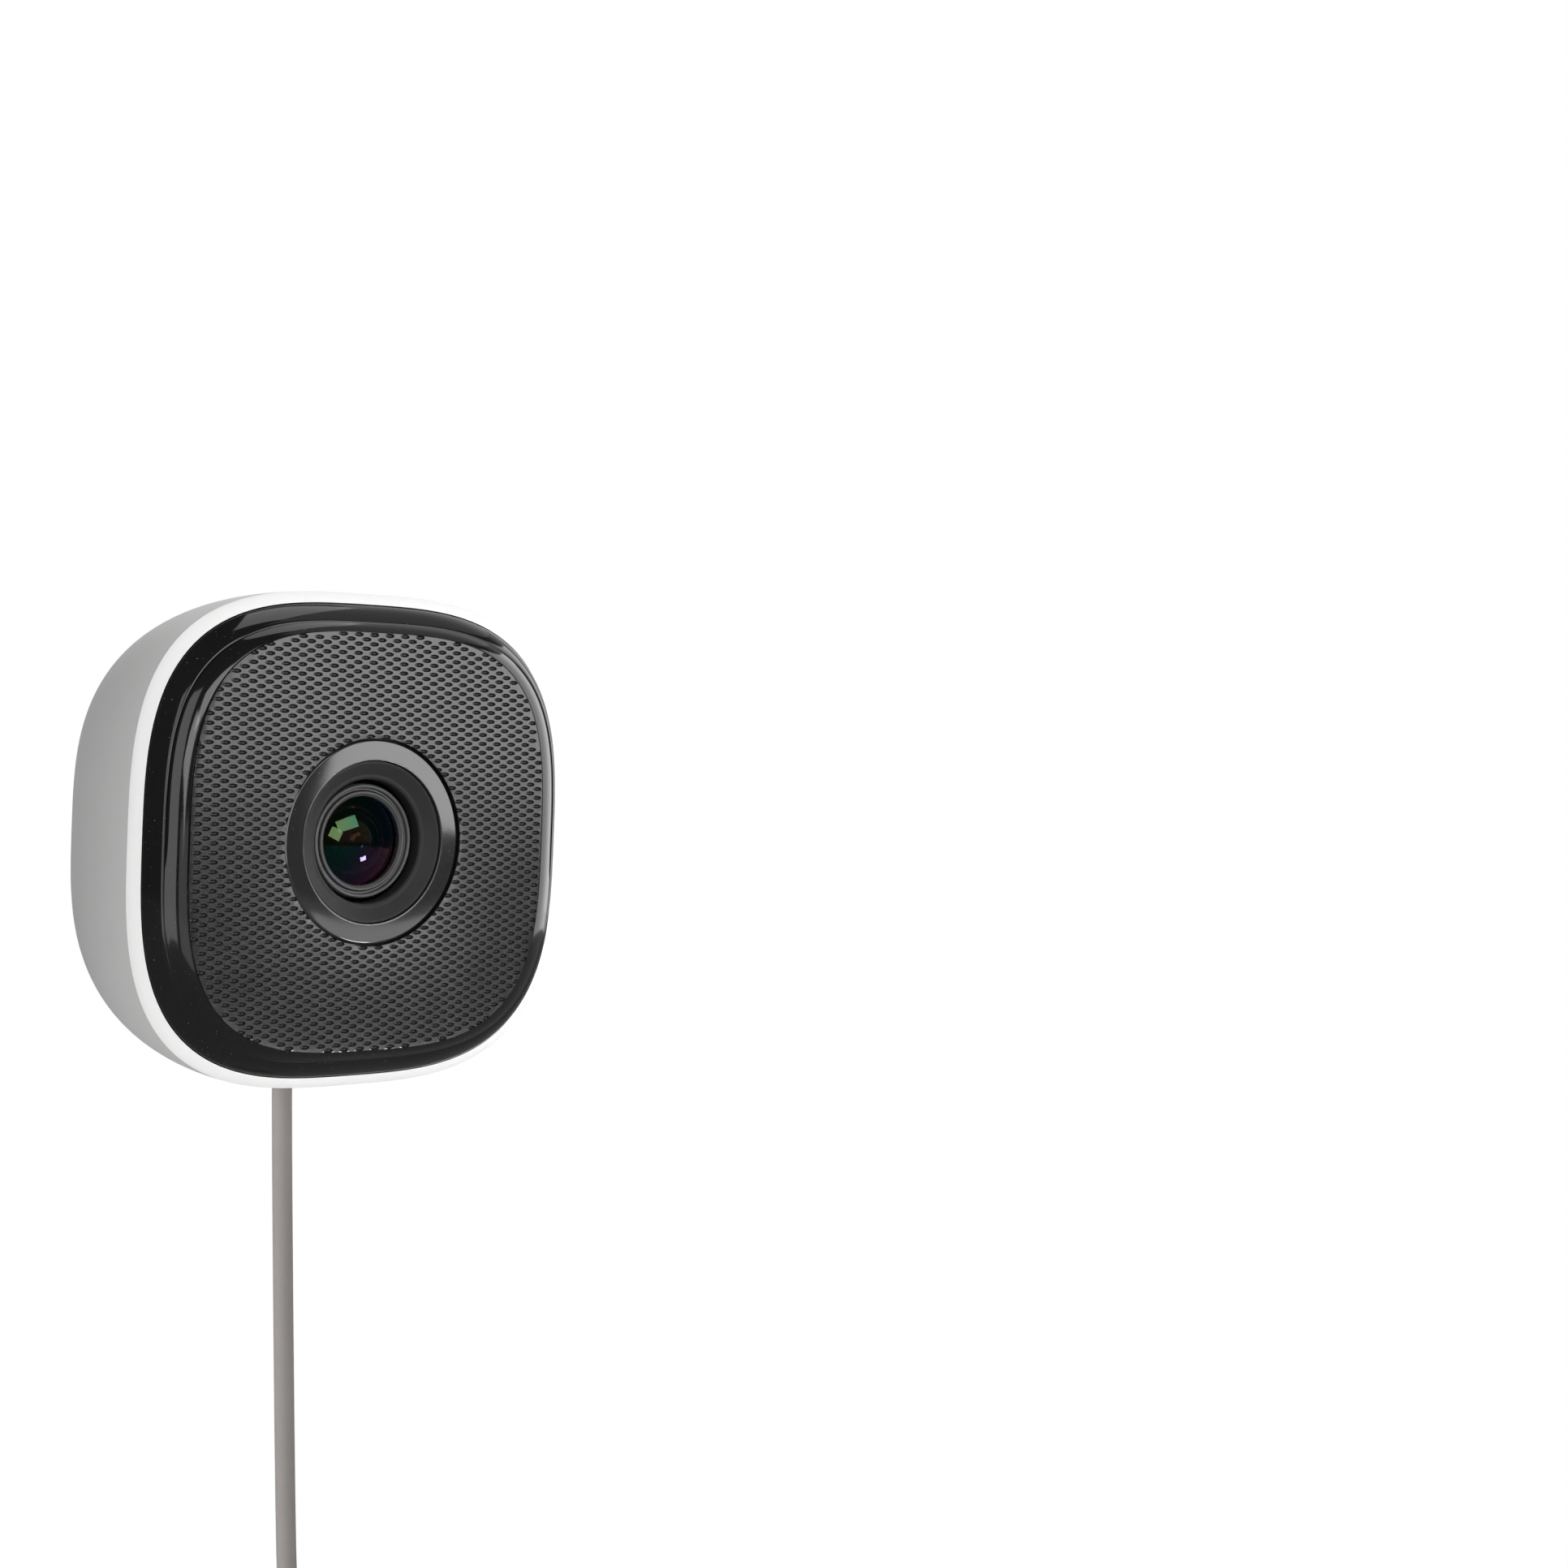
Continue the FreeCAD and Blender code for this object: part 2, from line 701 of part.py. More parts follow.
def bezel_holes():
    """The lens and sound holes, and every screw's hole and head recess."""
    front = Levels.plate_back + 1
    holes = [
        solid_rod(Levels.ring_hole, Levels.panel_back - 1, front),
        solid_rod(Sizes.sound_hole_radius, Levels.panel_back - 1, front, 0, -Sizes.speaker_drop),
    ]
    pilot = Sizes.screw_radius + Sizes.screw_gap
    pilot_end = Levels.sensor_board_front + Sizes.screw_bite + 1
    case_clear = Sizes.case_screw_radius + Sizes.screw_gap
    case_head = Sizes.case_head_radius + Sizes.screw_gap
    for side, end in CORNERS:
        place = (side * Sizes.board_screw_x, end * Sizes.board_screw_z)
        holes.append(solid_rod(pilot, Levels.sensor_board_front - 1, pilot_end, *place))
        place = (side * Sizes.case_screw_x, end * Sizes.case_screw_z)
        holes.append(solid_rod(case_clear, Levels.case_pad_back - 1, front, *place))
        holes.append(solid_rod(case_head, Levels.case_head_back, front, *place))
    lamp_pilot = Sizes.lamp_screw_radius + Sizes.screw_gap
    lamp_end = Levels.lamp_board_front + Sizes.lamp_screw_bite + Sizes.screw_gap
    for side in (-1, 1):
        place = (side * Sizes.lamp_boss_spread, Sizes.lamp_board_rise)
        holes.append(solid_rod(lamp_pilot, Levels.lamp_board_front - 1, lamp_end, *place))
    return holes


def make_front_bezel():
    pocket = skin([
        pocket_section(forward) for forward in (Levels.plate_back, Levels.plate_front + 1)
    ])
    bezel = bezel_solid().cut(bezel_hollow()).cut(pocket)
    bezel = bezel.multiFuse(bezel_posts()).cut(bezel_holes())
    shape_part("front_bezel", bezel.Solids[0])


def make_front_plate():
    """The flat plate that carries the dots, with the hole for the trim ring."""
    plate = skin([
        (Sizes.plate_half_width, Sizes.plate_half_height, Sizes.plate_power, forward)
        for forward in (Levels.plate_back, Levels.plate_front)
    ])
    hole_radius = Sizes.ring_radius + Sizes.surround_gap
    hole = solid_rod(hole_radius, Levels.plate_back - 1, Levels.plate_front + 1)
    shape_part("front_plate", plate.cut(hole).Solids[0])


# Lens surround


def make_trim_ring():
    keep(turned("trim_ring", [
        ("Levels.ring_hole", "Levels.plate_back"),
        ("Sizes.ring_radius", "Levels.plate_back"),
        ("Sizes.ring_radius", "Levels.ring_front"),
        ("Levels.ring_hole", "Levels.ring_front - Sizes.ring_dish"),
    ]), "lens_trim_ring")


def make_lens_hood():
    flange_radius = "Levels.hood_radius + Sizes.hood_flange_reach"
    keep(turned("hood", [
        ("Sizes.hood_hole", "Levels.hood_back"),
        (flange_radius, "Levels.hood_back"),
        (flange_radius, "Levels.panel_back"),
        ("Levels.hood_radius", "Levels.panel_back"),
        ("Levels.hood_radius", "Levels.hood_front"),
        ("Sizes.hood_hole", "Levels.hood_edge"),
    ]), "lens_hood")


# Lens barrel and its glass


def make_lens_barrel():
    lip = "Sizes.barrel_radius - Sizes.barrel_lip_wall"
    keep(turned("barrel", [
        ("Sizes.inner_bore", "Levels.barrel_back"),
        ("Sizes.neck_radius", "Levels.barrel_back"),
        ("Sizes.neck_radius", "Levels.head_back"),
        ("Sizes.barrel_radius", "Levels.head_back"),
        ("Sizes.barrel_radius", "Levels.barrel_front"),
        (lip, "Levels.barrel_front"),
        (lip, "Levels.barrel_front - Sizes.barrel_lip_depth"),
        ("Sizes.front_bore", "Levels.barrel_front - Sizes.barrel_lip_depth"),
        ("Sizes.front_bore", "Levels.glass_seat"),
        ("Sizes.inner_bore", "Levels.glass_seat"),
        ("Sizes.inner_bore", "Levels.stop_front"),
        ("Sizes.stop_radius", "Levels.stop_front"),
        ("Sizes.stop_radius", "Levels.stop_back"),
        ("Sizes.inner_bore", "Levels.stop_back"),
    ]), "lens_barrel")


def make_retaining_rings():
    front_outer = "Sizes.front_bore - Sizes.lens_gap"
    keep(turned("front_retainer", [
        ("Sizes.retainer_opening", "Levels.glass_shoulder"),
        (front_outer, "Levels.glass_shoulder"),
        (front_outer, "Levels.retainer_front"),
        ("Sizes.retainer_opening", "Levels.glass_edge"),
    ]), "front_retaining_ring")
    rear_outer = "Sizes.inner_bore - Sizes.lens_gap"
    keep(turned("rear_retainer", [
        (f"{rear_outer} - Sizes.rear_retainer_wall", "Levels.rear_lens_back - Sizes.rear_retainer"),
        (rear_outer, "Levels.rear_lens_back - Sizes.rear_retainer"),
        (rear_outer, "Levels.rear_lens_back"),
        (f"{rear_outer} - Sizes.rear_retainer_wall", "Levels.rear_lens_back"),
    ]), "rear_retaining_ring")
    keep(turned("lock_ring", [
        ("Sizes.neck_radius + Sizes.lens_gap", "Levels.holder_front"),
        ("Sizes.lock_ring_radius", "Levels.holder_front"),
        ("Sizes.lock_ring_radius", "Levels.holder_front + Sizes.lock_ring_height"),
        ("Sizes.neck_radius + Sizes.lens_gap", "Levels.holder_front + Sizes.lock_ring_height"),
    ]), "focus_lock_ring")


def dome_centre(edge, radius, edge_radius):
    """Forward distance of a dome's centre when its edge lies at a forward distance."""
    return f"{edge} - sqrt(({radius}) ^ 2 - ({edge_radius}) ^ 2)"


def make_front_lens():
    """Meniscus: a domed step in front of a wider seat, hollowed from behind."""
    seat = cylinder(
        "front_lens_seat", "Sizes.front_bore - Sizes.lens_gap",
        "Levels.glass_seat", "Sizes.glass_shoulder",
    )
    step = cylinder(
        "front_lens_step", "Sizes.glass_radius", "Levels.glass_seat",
        "Sizes.glass_shoulder + Sizes.glass_step + Sizes.glass_dome",
    )
    centre = dome_centre("Levels.glass_edge", "Sizes.glass_dome", "Sizes.glass_radius")
    dome = common("front_lens_dome", step, ball("front_lens_ball", "Sizes.glass_dome", centre))
    body = fuse("front_lens_body", [seat, dome])
    apex = f"({centre} + Sizes.glass_dome - Sizes.glass_middle - Levels.glass_seat)"
    hollow = f"((Sizes.glass_hollow ^ 2 + {apex} ^ 2) / (2 * {apex}))"
    tool = ball("front_lens_hollow", hollow, f"Levels.glass_seat + {apex} - {hollow}")
    keep(cut("front_lens_cut", body, tool), "front_lens")


def make_inner_lenses():
    """Two small lenses on either side of the aperture stop."""
    radius = "(Sizes.inner_bore - Sizes.lens_gap)"
    reach = "Sizes.inner_dome"
    rod = cylinder("middle_rod", radius, "Levels.stop_front", reach)
    edge = "Levels.stop_front + Sizes.middle_lens_edge"
    centre = dome_centre(edge, "Sizes.inner_dome", radius)
    bulge = ball("middle_ball", "Sizes.inner_dome", centre)
    keep(common("middle_dome", rod, bulge), "middle_lens")
    edge = cylinder("rear_edge", radius, "Levels.rear_lens_back", "Sizes.rear_lens_edge")
    cap_radius = f"({radius} - Sizes.rear_retainer_wall - Sizes.lens_gap)"
    rod = cylinder("rear_rod", cap_radius, f"Levels.rear_lens_back - {reach}", f"{reach} + 1")
    centre = f"Levels.rear_lens_back + sqrt(Sizes.inner_dome ^ 2 - {cap_radius} ^ 2)"
    bulge = common("rear_dome", rod, ball("rear_ball", "Sizes.inner_dome", centre))
    keep(fuse("rear_body", [edge, bulge]), "rear_lens")


# Lens holder, filter and sensor


def make_lens_holder():
    base = block(
        "holder_base", "Sizes.holder_base_width", "Sizes.holder_base_width",
        "Levels.sensor_board_front", "Sizes.holder_base_height",
    )
    bore = "Sizes.neck_radius + Sizes.lens_gap"
    tube = cylinder(
        "holder_tube", f"{bore} + Sizes.holder_wall",
        "Levels.sensor_board_front", "Sizes.holder_length",
    )
    holes = fuse("holder_holes", [
        cylinder("holder_thread", bore, "Levels.thread_start", "Sizes.holder_length"),
        cylinder(
            "holder_window", "Sizes.well_window",
            "Levels.sensor_board_front", "Sizes.holder_length",
        ),
        cylinder(
            "holder_well", "Sizes.well_radius",
            "Levels.sensor_board_front", "Sizes.well_depth",
        ),
    ])
    body = fuse("holder_body", [base, tube])
    keep(cut("holder", body, holes), "lens_holder")


def make_sensor():
    keep(block(
        "filter", "Sizes.filter_width", "Sizes.filter_width",
        "Levels.well_front - Sizes.filter_thickness", "Sizes.filter_thickness",
    ), "filter_glass")
    keep(block(
        "sensor", "Sizes.sensor_width", "Sizes.sensor_height",
        "Levels.sensor_board_front", "Sizes.sensor_thickness",
    ), "image_sensor")


# Boards


def board_holes():
    radius = "Sizes.screw_radius + Sizes.screw_gap"
    return [
        (radius, f"{side} * Sizes.board_screw_x", f"{end} * Sizes.board_screw_z")
        for side, end in CORNERS
    ]


def make_boards():
    keep(board(
        "sensor_board_body", "Sizes.board_width", "Sizes.board_height",
        "Levels.sensor_board_back", "Sizes.board_thickness", board_holes(),
    ), "sensor_board")
    keep(board(
        "main_board_body", "Sizes.board_width", "Sizes.board_height",
        "Levels.main_board_back", "Sizes.board_thickness", board_holes(),
    ), "main_board")
    lamp_hole = "Sizes.lamp_screw_radius + Sizes.screw_gap"
    lamp_holes = [
        (lamp_hole, f"{side} * Sizes.lamp_boss_spread", "Sizes.lamp_board_rise")
        for side in (-1, 1)
    ]
    keep(board(
        "lamp_board_body", "Sizes.lamp_board_width", "Sizes.lamp_board_height",
        "Levels.lamp_board_back", "Sizes.lamp_board_thickness", lamp_holes,
        "Sizes.lamp_board_rise",
    ), "led_board")


def screw(name, across, rise, head, shank, socket=None):
    """A screw along the lens axis; head and shank are (radius, start, length)."""
    pieces = [
        cylinder(name + "_head", *head, across, rise),
        cylinder(name + "_shank", *shank, across, rise),
    ]
    body = fuse(name + "_body", pieces)
    if socket is None:
        return body
    return cut(name, body, cylinder(name + "_socket", *socket, across, rise))


def board_screws(label, face):
    """Four screws whose heads sit behind or before a board and whose shanks go forward."""
    screws = []
    for index, (side, end) in enumerate(CORNERS):
        across = f"{side} * Sizes.board_screw_x"
        rise = f"{end} * Sizes.board_screw_z"
        if face == "back":
            start = "Levels.sensor_board_back - Sizes.screw_head_height"
            shank = ("Sizes.screw_radius", "Levels.sensor_board_back",
                     "Sizes.board_thickness + Sizes.screw_bite")
            socket_start = start
        else:
            start = "Levels.main_board_front"
            shank = ("Sizes.screw_radius", "Levels.main_board_back - Sizes.screw_bite",
                     "Sizes.board_thickness + Sizes.screw_bite")
            socket_start = f"{start} + Sizes.screw_head_height - Sizes.socket_depth"
        head = ("Sizes.screw_head_radius", start, "Sizes.screw_head_height")
        socket = ("Sizes.socket_radius", socket_start, "Sizes.socket_depth")
        screws.append(screw(f"{label}_{index}", across, rise, head, shank, socket))
    keep(group(label + "_group", screws), label)


def make_case_screws():
    """Long screws from under the front plate into the shell's posts."""
    screws = []
    bite_start = "Levels.case_pad_back - Sizes.case_screw_bite"
    for index, (side, end) in enumerate(CORNERS):
        head = ("Sizes.case_head_radius", "Levels.case_head_back", "Sizes.case_head_height")
        shank = ("Sizes.case_screw_radius", bite_start, f"Levels.case_head_back - ({bite_start})")
        socket_start = "Levels.case_head_front - Sizes.socket_depth"
        socket = ("Sizes.socket_radius", socket_start, "Sizes.socket_depth")
        across = f"{side} * Sizes.case_screw_x"
        rise = f"{end} * Sizes.case_screw_z"
        screws.append(screw(f"case_screw_{index}", across, rise, head, shank, socket))
    keep(group("case_screw_group", screws), "case_screws")


def make_lamp_parts():
    """Infrared lamps, microphone and the two screws of the upper board."""
    lamps = []
    for index, spread in enumerate(("Sizes.lamp_near", "Sizes.lamp_far")):
        for side in (-1, 1):
            lamps.append(block(
                f"lamp_{index}_{side + 1}", "Sizes.lamp_size", "Sizes.lamp_size",
                "Levels.lamp_board_front", "Sizes.lamp_height",
                f"{side} * {spread}", "Sizes.lamp_board_rise",
            ))
    keep(group("lamps", lamps), "ir_leds")
    keep(block(
        "mic", "Sizes.microphone_width", "Sizes.microphone_height",
        "Levels.lamp_board_front", "Sizes.microphone_thickness",
        "0", "Sizes.lamp_board_rise",
    ), "microphone")
    screws = []
    for side in (-1, 1):
        head = ("Sizes.lamp_screw_head", "Levels.lamp_board_back - Sizes.lamp_screw_head_height",
                "Sizes.lamp_screw_head_height")
        shank = ("Sizes.lamp_screw_radius", "Levels.lamp_board_back",
                 "Sizes.lamp_board_thickness + Sizes.lamp_screw_bite")
        across = f"{side} * Sizes.lamp_boss_spread"
        screws.append(screw(
            f"lamp_screw_{side + 1}", across, "Sizes.lamp_board_rise", head, shank,
        ))
    keep(group("lamp_screws", screws), "led_board_screws")


# Speaker


def make_speaker():
    can_back = "Levels.gasket_back - Sizes.speaker_frame - Sizes.speaker_can_length"
    frame_back = "Levels.gasket_back - Sizes.speaker_frame"
    cone_radius = "Sizes.speaker_radius - Sizes.speaker_surround"
    speaker = turned("speaker_body", [
        ("0", can_back),
        ("Sizes.speaker_can_radius", can_back),
        ("Sizes.speaker_can_radius", frame_back),
        ("Sizes.speaker_radius", frame_back),
        ("Sizes.speaker_radius", "Levels.gasket_back"),
        (cone_radius, "Levels.gasket_back"),
        ("0", "Levels.gasket_back - Sizes.speaker_cone_depth"),
    ])
    speaker.setExpression(".Placement.Base.z", "-Sizes.speaker_drop")
    keep(speaker, "speaker")
    gasket = turned("gasket_body", [
        (cone_radius, "Levels.gasket_back"),
        ("Sizes.speaker_radius", "Levels.gasket_back"),
        ("Sizes.speaker_radius", "Levels.panel_back"),
        (cone_radius, "Levels.panel_back"),
    ])
    gasket.setExpression(".Placement.Base.z", "-Sizes.speaker_drop")
    keep(gasket, "speaker_gasket")


# Parts on the main board


def make_shield_can():
    """A folded tin lid over the processor, open towards the board."""
    outer = block(
        "can_outer", "Sizes.can_width", "Sizes.can_height",
        "Levels.main_board_front", "Sizes.can_depth", "Sizes.can_x", "Sizes.can_z",
    )
    inner = block(
        "can_inner", "Sizes.can_width - 2 * Sizes.can_sheet",
        "Sizes.can_height - 2 * Sizes.can_sheet",
        "Levels.main_board_front", "Sizes.can_depth - Sizes.can_sheet",
        "Sizes.can_x", "Sizes.can_z",
    )
    keep(cut("can", outer, inner), "shield_can")
    keep(block(
        "processor_block", "Sizes.processor_width", "Sizes.processor_width",
        "Levels.main_board_front", "Sizes.processor_thickness",
        "Sizes.can_x", "Sizes.can_z",
    ), "processor")


def make_heat_sink():
    keep(block(
        "pad", "Sizes.pad_width", "Sizes.pad_height",
        "Levels.can_front", "Sizes.pad_thickness", "Sizes.can_x", "Sizes.can_z",
    ), "thermal_pad")
    pieces = [block(
        "sink_base", "Sizes.sink_width", "Sizes.sink_height",
        "Levels.pad_front", "Sizes.sink_base", "Sizes.can_x", "Sizes.can_z",
    )]
    pitch = "(Sizes.sink_width - Sizes.fin_thickness) / 4"
    for step in range(-2, 3):
        pieces.append(block(
            f"fin_{step + 2}", "Sizes.fin_thickness", "Sizes.sink_height",
            "Levels.pad_front", "Sizes.sink_base + Sizes.fin_height",
            f"Sizes.can_x + {step} * {pitch}", "Sizes.can_z",
        ))
    keep(fuse("sink", pieces), "heat_sink")


def make_main_board_parts():
    keep(block(
        "memory", "Sizes.memory_width", "Sizes.memory_height",
        "Levels.main_board_front", "Sizes.memory_thickness",
        "Sizes.memory_x", "Sizes.memory_z",
    ), "memory_chip")
    keep(block(
        "radio", "Sizes.radio_width", "Sizes.radio_height",
        "Levels.main_board_front", "Sizes.radio_thickness",
        "Sizes.radio_x", "Sizes.radio_z",
    ), "wifi_module")
    keep(block(
        "power_socket", "Sizes.power_socket_width", "Sizes.power_socket_height",
        "Levels.main_board_front", "Sizes.power_socket_depth",
        "0", "Sizes.power_socket_height / 2 - Levels.power_socket_drop",
    ), "power_connector")


def make_ribbon():
    """Two facing connectors and the flat ribbon between the boards."""
    keep(block(
        "main_plug", "Sizes.connector_width", "Sizes.connector_height",
        "Levels.main_board_front", "Sizes.connector_depth", "Sizes.connector_x",
    ), "main_connector")
    keep(block(
        "sensor_plug", "Sizes.connector_width", "Sizes.connector_height",
        "Levels.sensor_board_back - Sizes.connector_depth", "Sizes.connector_depth",
        "Sizes.connector_x",
    ), "sensor_connector")
    start = "Levels.main_board_front + Sizes.connector_depth"
    keep(block(
        "ribbon", "Sizes.ribbon_thickness", "Sizes.ribbon_width", start,
        f"Levels.sensor_board_back - Sizes.connector_depth - ({start})", "Sizes.connector_x",
    ), "ribbon_cable")


def make_aerials():
    aerials = [
        block(
            f"aerial_{side + 1}", "Sizes.aerial_thickness", "Sizes.aerial_width",
            "Levels.sensor_board_front", "Sizes.aerial_height", f"{side} * Sizes.aerial_x",
        )
        for side in (-1, 1)
    ]
    keep(group("aerials", aerials), "wifi_antennas")


# Stand thread and lead outlet


def make_mount_insert():
    """Blind brass insert whose flange seats on the boss, inside the housing."""
    flange_radius = "Sizes.insert_radius + Sizes.insert_flange_reach"
    floor = "Levels.flange_front - Sizes.insert_floor"
    keep(turned("insert", [
        ("Sizes.thread_bore", "0"),
        ("Sizes.insert_radius", "0"),
        ("Sizes.insert_radius", "Sizes.insert_length"),
        (flange_radius, "Sizes.insert_length"),
        (flange_radius, "Levels.flange_front"),
        ("0", "Levels.flange_front"),
        ("0", floor),
        ("Sizes.thread_bore", floor),
    ]), "mount_insert")


def make_grommet():
    """Moulded strain relief through the underside, tapered where the lead leaves."""
    grommet = turned("grommet", [
        ("0", "Levels.grommet_top_drop"),
        ("Sizes.grommet_flange_radius", "Levels.grommet_top_drop"),
        ("Sizes.grommet_flange_radius", "Sizes.outlet_pad_drop"),
        ("Sizes.grommet_radius", "Sizes.outlet_pad_drop"),
        ("Sizes.grommet_radius", "(Sizes.outlet_pad_drop + 2 * Sizes.outlet_tip_drop) / 3"),
        ("Sizes.outlet_tip_radius", "Sizes.outlet_tip_drop"),
        ("0", "Sizes.outlet_tip_drop"),
    ], DOWN)
    grommet.setExpression(".Placement.Base.y", "-Sizes.outlet_forward")
    keep(grommet, "cable_grommet")


# Lead


def bent_path(points):
    """Straight runs joined by arcs as large as the runs allow; also gives the radii."""
    edges = []
    radii = []
    last = points[0]
    for before, corner, after in zip(points, points[1:], points[2:]):
        back = (before - corner).normalize()
        ahead = (after - corner).normalize()
        half_turn = (math.pi - back.getAngle(ahead)) / 2
        cut_back = 0.45 * min(corner.distanceToPoint(before), corner.distanceToPoint(after))
        radius = cut_back / math.tan(half_turn)
        middle = (back + ahead).normalize()
        centre_distance = radius / math.cos(half_turn)
        start = corner + back * cut_back
        end = corner + ahead * cut_back
        top = corner + middle * (centre_distance - radius)
        edges.append(Part.LineSegment(last, start).toShape())
        edges.append(Part.Arc(start, top, end).toShape())
        radii.append(round(radius, 1))
        last = end
    edges.append(Part.LineSegment(last, points[-1]).toShape())
    return Part.Wire(edges), radii


def tube(name, points, diameter):
    """A round tube along a bent path."""
    path, radii = bent_path(points)
    direction = points[1] - points[0]
    ring = Part.Circle(points[0], direction, diameter / 2).toShape()
    solid = path.makePipeShell([Part.Wire([ring])], True, True)
    section = math.pi * diameter * diameter / 4
    print(f"{name}: length {path.Length:.1f} mm, radii {radii}, "
          f"volume {solid.Volume:.2f} against {section * path.Length:.2f}")
    return solid


def make_inner_lead():
    """From the grommet's top, up and back in an easy bend into the power connector.

    The bend's points are shares of the way back and of the way up.
    """
    start_forward = Sizes.outlet_forward
    start_drop = Levels.grommet_top_drop
    back = start_forward - Levels.main_board_front - Sizes.power_socket_depth / 2
    up = start_drop - Levels.power_socket_drop
    bend = (
        (0, 0), (0, 0.187), (0.126, 0.355), (0.358, 0.471),
        (0.645, 0.529), (0.874, 0.645), (1, 0.813), (1, 1),
    )
    points = [
        Vector(0, back * along - start_forward, up * rise - start_drop) for along, rise in bend
    ]
    shape_part("inner_lead", tube("inner_lead", points, Sizes.inner_lead_diameter))


def coil_trim():
    """The coil's round outside with the small gap that keeps the lead clear of it."""
    radius = Levels.coil_outside + Sizes.coil_gap
    depth = 4 * Levels.coil_half
    base = Vector(
        Sizes.coil_centre_x,
        -Sizes.outlet_forward - depth / 2,
        -Sizes.coil_centre_drop,
    )
    return Part.makeCylinder(radius, depth, base, Vector(0, 1, 0))


def make_power_cord():
    """Hangs almost straight from the grommet to the coil, a little out of plumb."""
    points = [
        Vector(0, -Sizes.outlet_forward, -Sizes.outlet_tip_drop),
        Vector(0, -Sizes.outlet_forward, -Sizes.outlet_tip_drop - 4),
        Vector(Levels.lead_line_x, -Sizes.outlet_forward, -Sizes.coil_centre_drop + 16),
    ]
    solid = tube("power_cord", points, Sizes.lead_diameter)
    shape_part("power_cord", solid.cut(coil_trim()).Solids[0])


def make_cord_tail():
    """The short end between the coil and the plug."""
    length = Sizes.tail_length + 4
    base = Vector(Levels.lead_line_x, -Sizes.outlet_forward, -Levels.tail_end_drop)
    rod = Part.makeCylinder(Sizes.lead_diameter / 2, length, base)
    shape_part("cord_tail", rod.cut(coil_trim()).Solids[0])


def make_coil():
    """The wound lead's outer shape: a ring with rounded corners."""
    base = Vector(
        Sizes.coil_centre_x,
        -Sizes.outlet_forward - Levels.coil_half,
        -Sizes.coil_centre_drop,
    )
    axis = Vector(0, 1, 0)
    width = 2 * Levels.coil_half
    ring = Part.makeCylinder(Levels.coil_outside, width, base, axis)
    ring = ring.cut(Part.makeCylinder(Levels.coil_inside, width, base, axis))
    rims = [edge for edge in ring.Edges if isinstance(edge.Curve, Part.Circle)]
    shape_part("cord_coil", ring.makeFillet(Sizes.coil_corner, rims))


def make_coil_tie():
    """A flat strap round the bundle, on the far side of the coil from the lead."""
    outer_half = Levels.coil_half + Sizes.tie_gap + Sizes.tie_thickness
    inner_half = Levels.coil_half + Sizes.tie_gap
    loops = []
    for half, width in ((outer_half, Sizes.tie_width), (inner_half, Sizes.tie_width + 2)):
        corner = Vector(
            Sizes.coil_centre_x + Sizes.coil_radius - half,
            -Sizes.outlet_forward - half,
            -Sizes.coil_centre_drop - width / 2,
        )
        solid = Part.makeBox(2 * half, 2 * half, width, corner)
        uprights = [edge for edge in solid.Edges if abs(edge.tangentAt(0).z) > 0.9]
        loops.append(solid.makeFillet(Sizes.coil_corner, uprights))
    shape_part("coil_tie", loops[0].cut(loops[1]).Solids[0])


def plug_box(width, depth, drop, length):
    corner = Vector(
        Levels.lead_line_x - width / 2,
        -Sizes.outlet_forward - depth / 2,
        -drop - length,
    )
    return Part.makeBox(width, depth, length, corner)


def make_plug():
    """Moulded plug body with its tapered relief, metal shell and contact tongue."""
    body = plug_box(
        Sizes.plug_body_width, Sizes.plug_body_depth,
        Levels.plug_body_drop, Sizes.plug_body_length,
    )
    uprights = [edge for edge in body.Edges if abs(edge.tangentAt(0).z) > 0.9]
    body = body.makeFillet(Sizes.plug_body_round, uprights)
    base = Vector(Levels.lead_line_x, -Sizes.outlet_forward, -Levels.plug_body_drop)
    relief = Part.makeCone(
        Sizes.plug_relief_radius, Sizes.lead_diameter / 2 + 0.3,
        Sizes.plug_relief_length, base,
    )
    shape_part("usb_plug_body", body.fuse(relief).Solids[0])
    shell_size = (Sizes.plug_shell_width, Sizes.plug_shell_depth)
    wall = Sizes.plug_shell_wall
    hollow_size = (shell_size[0] - 2 * wall, shell_size[1] - 2 * wall)
    shell = plug_box(*shell_size, Levels.plug_shell_drop, Sizes.plug_shell_length)
    hollow = plug_box(*hollow_size, Levels.plug_shell_drop, Sizes.plug_shell_length)
    shape_part("usb_plug_shell", shell.cut(hollow).Solids[0])
    gap = Sizes.plug_tongue_gap
    tongue = plug_box(
        hollow_size[0] - 2 * gap, Sizes.plug_tongue_thickness,
        Levels.plug_shell_drop, Sizes.plug_shell_length - 1,
    )
    lift = (hollow_size[1] - Sizes.plug_tongue_thickness) / 2 - gap
    tongue.translate(Vector(0, lift, 0))
    shape_part("usb_plug_tongue", tongue)


def make_all():
    make_rear_shell()
    make_front_bezel()
    make_front_plate()
    make_trim_ring()
    make_lens_hood()
    make_lens_barrel()
    make_retaining_rings()
    make_front_lens()
    make_inner_lenses()
    make_lens_holder()
    make_sensor()
    make_boards()
    board_screws("sensor_board_screws", "back")
    board_screws("main_board_screws", "front")
    make_case_screws()
    make_lamp_parts()
    make_speaker()
    make_shield_can()
    make_heat_sink()
    make_main_board_parts()
    make_ribbon()
    make_aerials()
    make_mount_insert()
    make_grommet()
    make_inner_lead()
    make_power_cord()
    make_cord_tail()
    make_coil()
    make_coil_tie()
    make_plug()


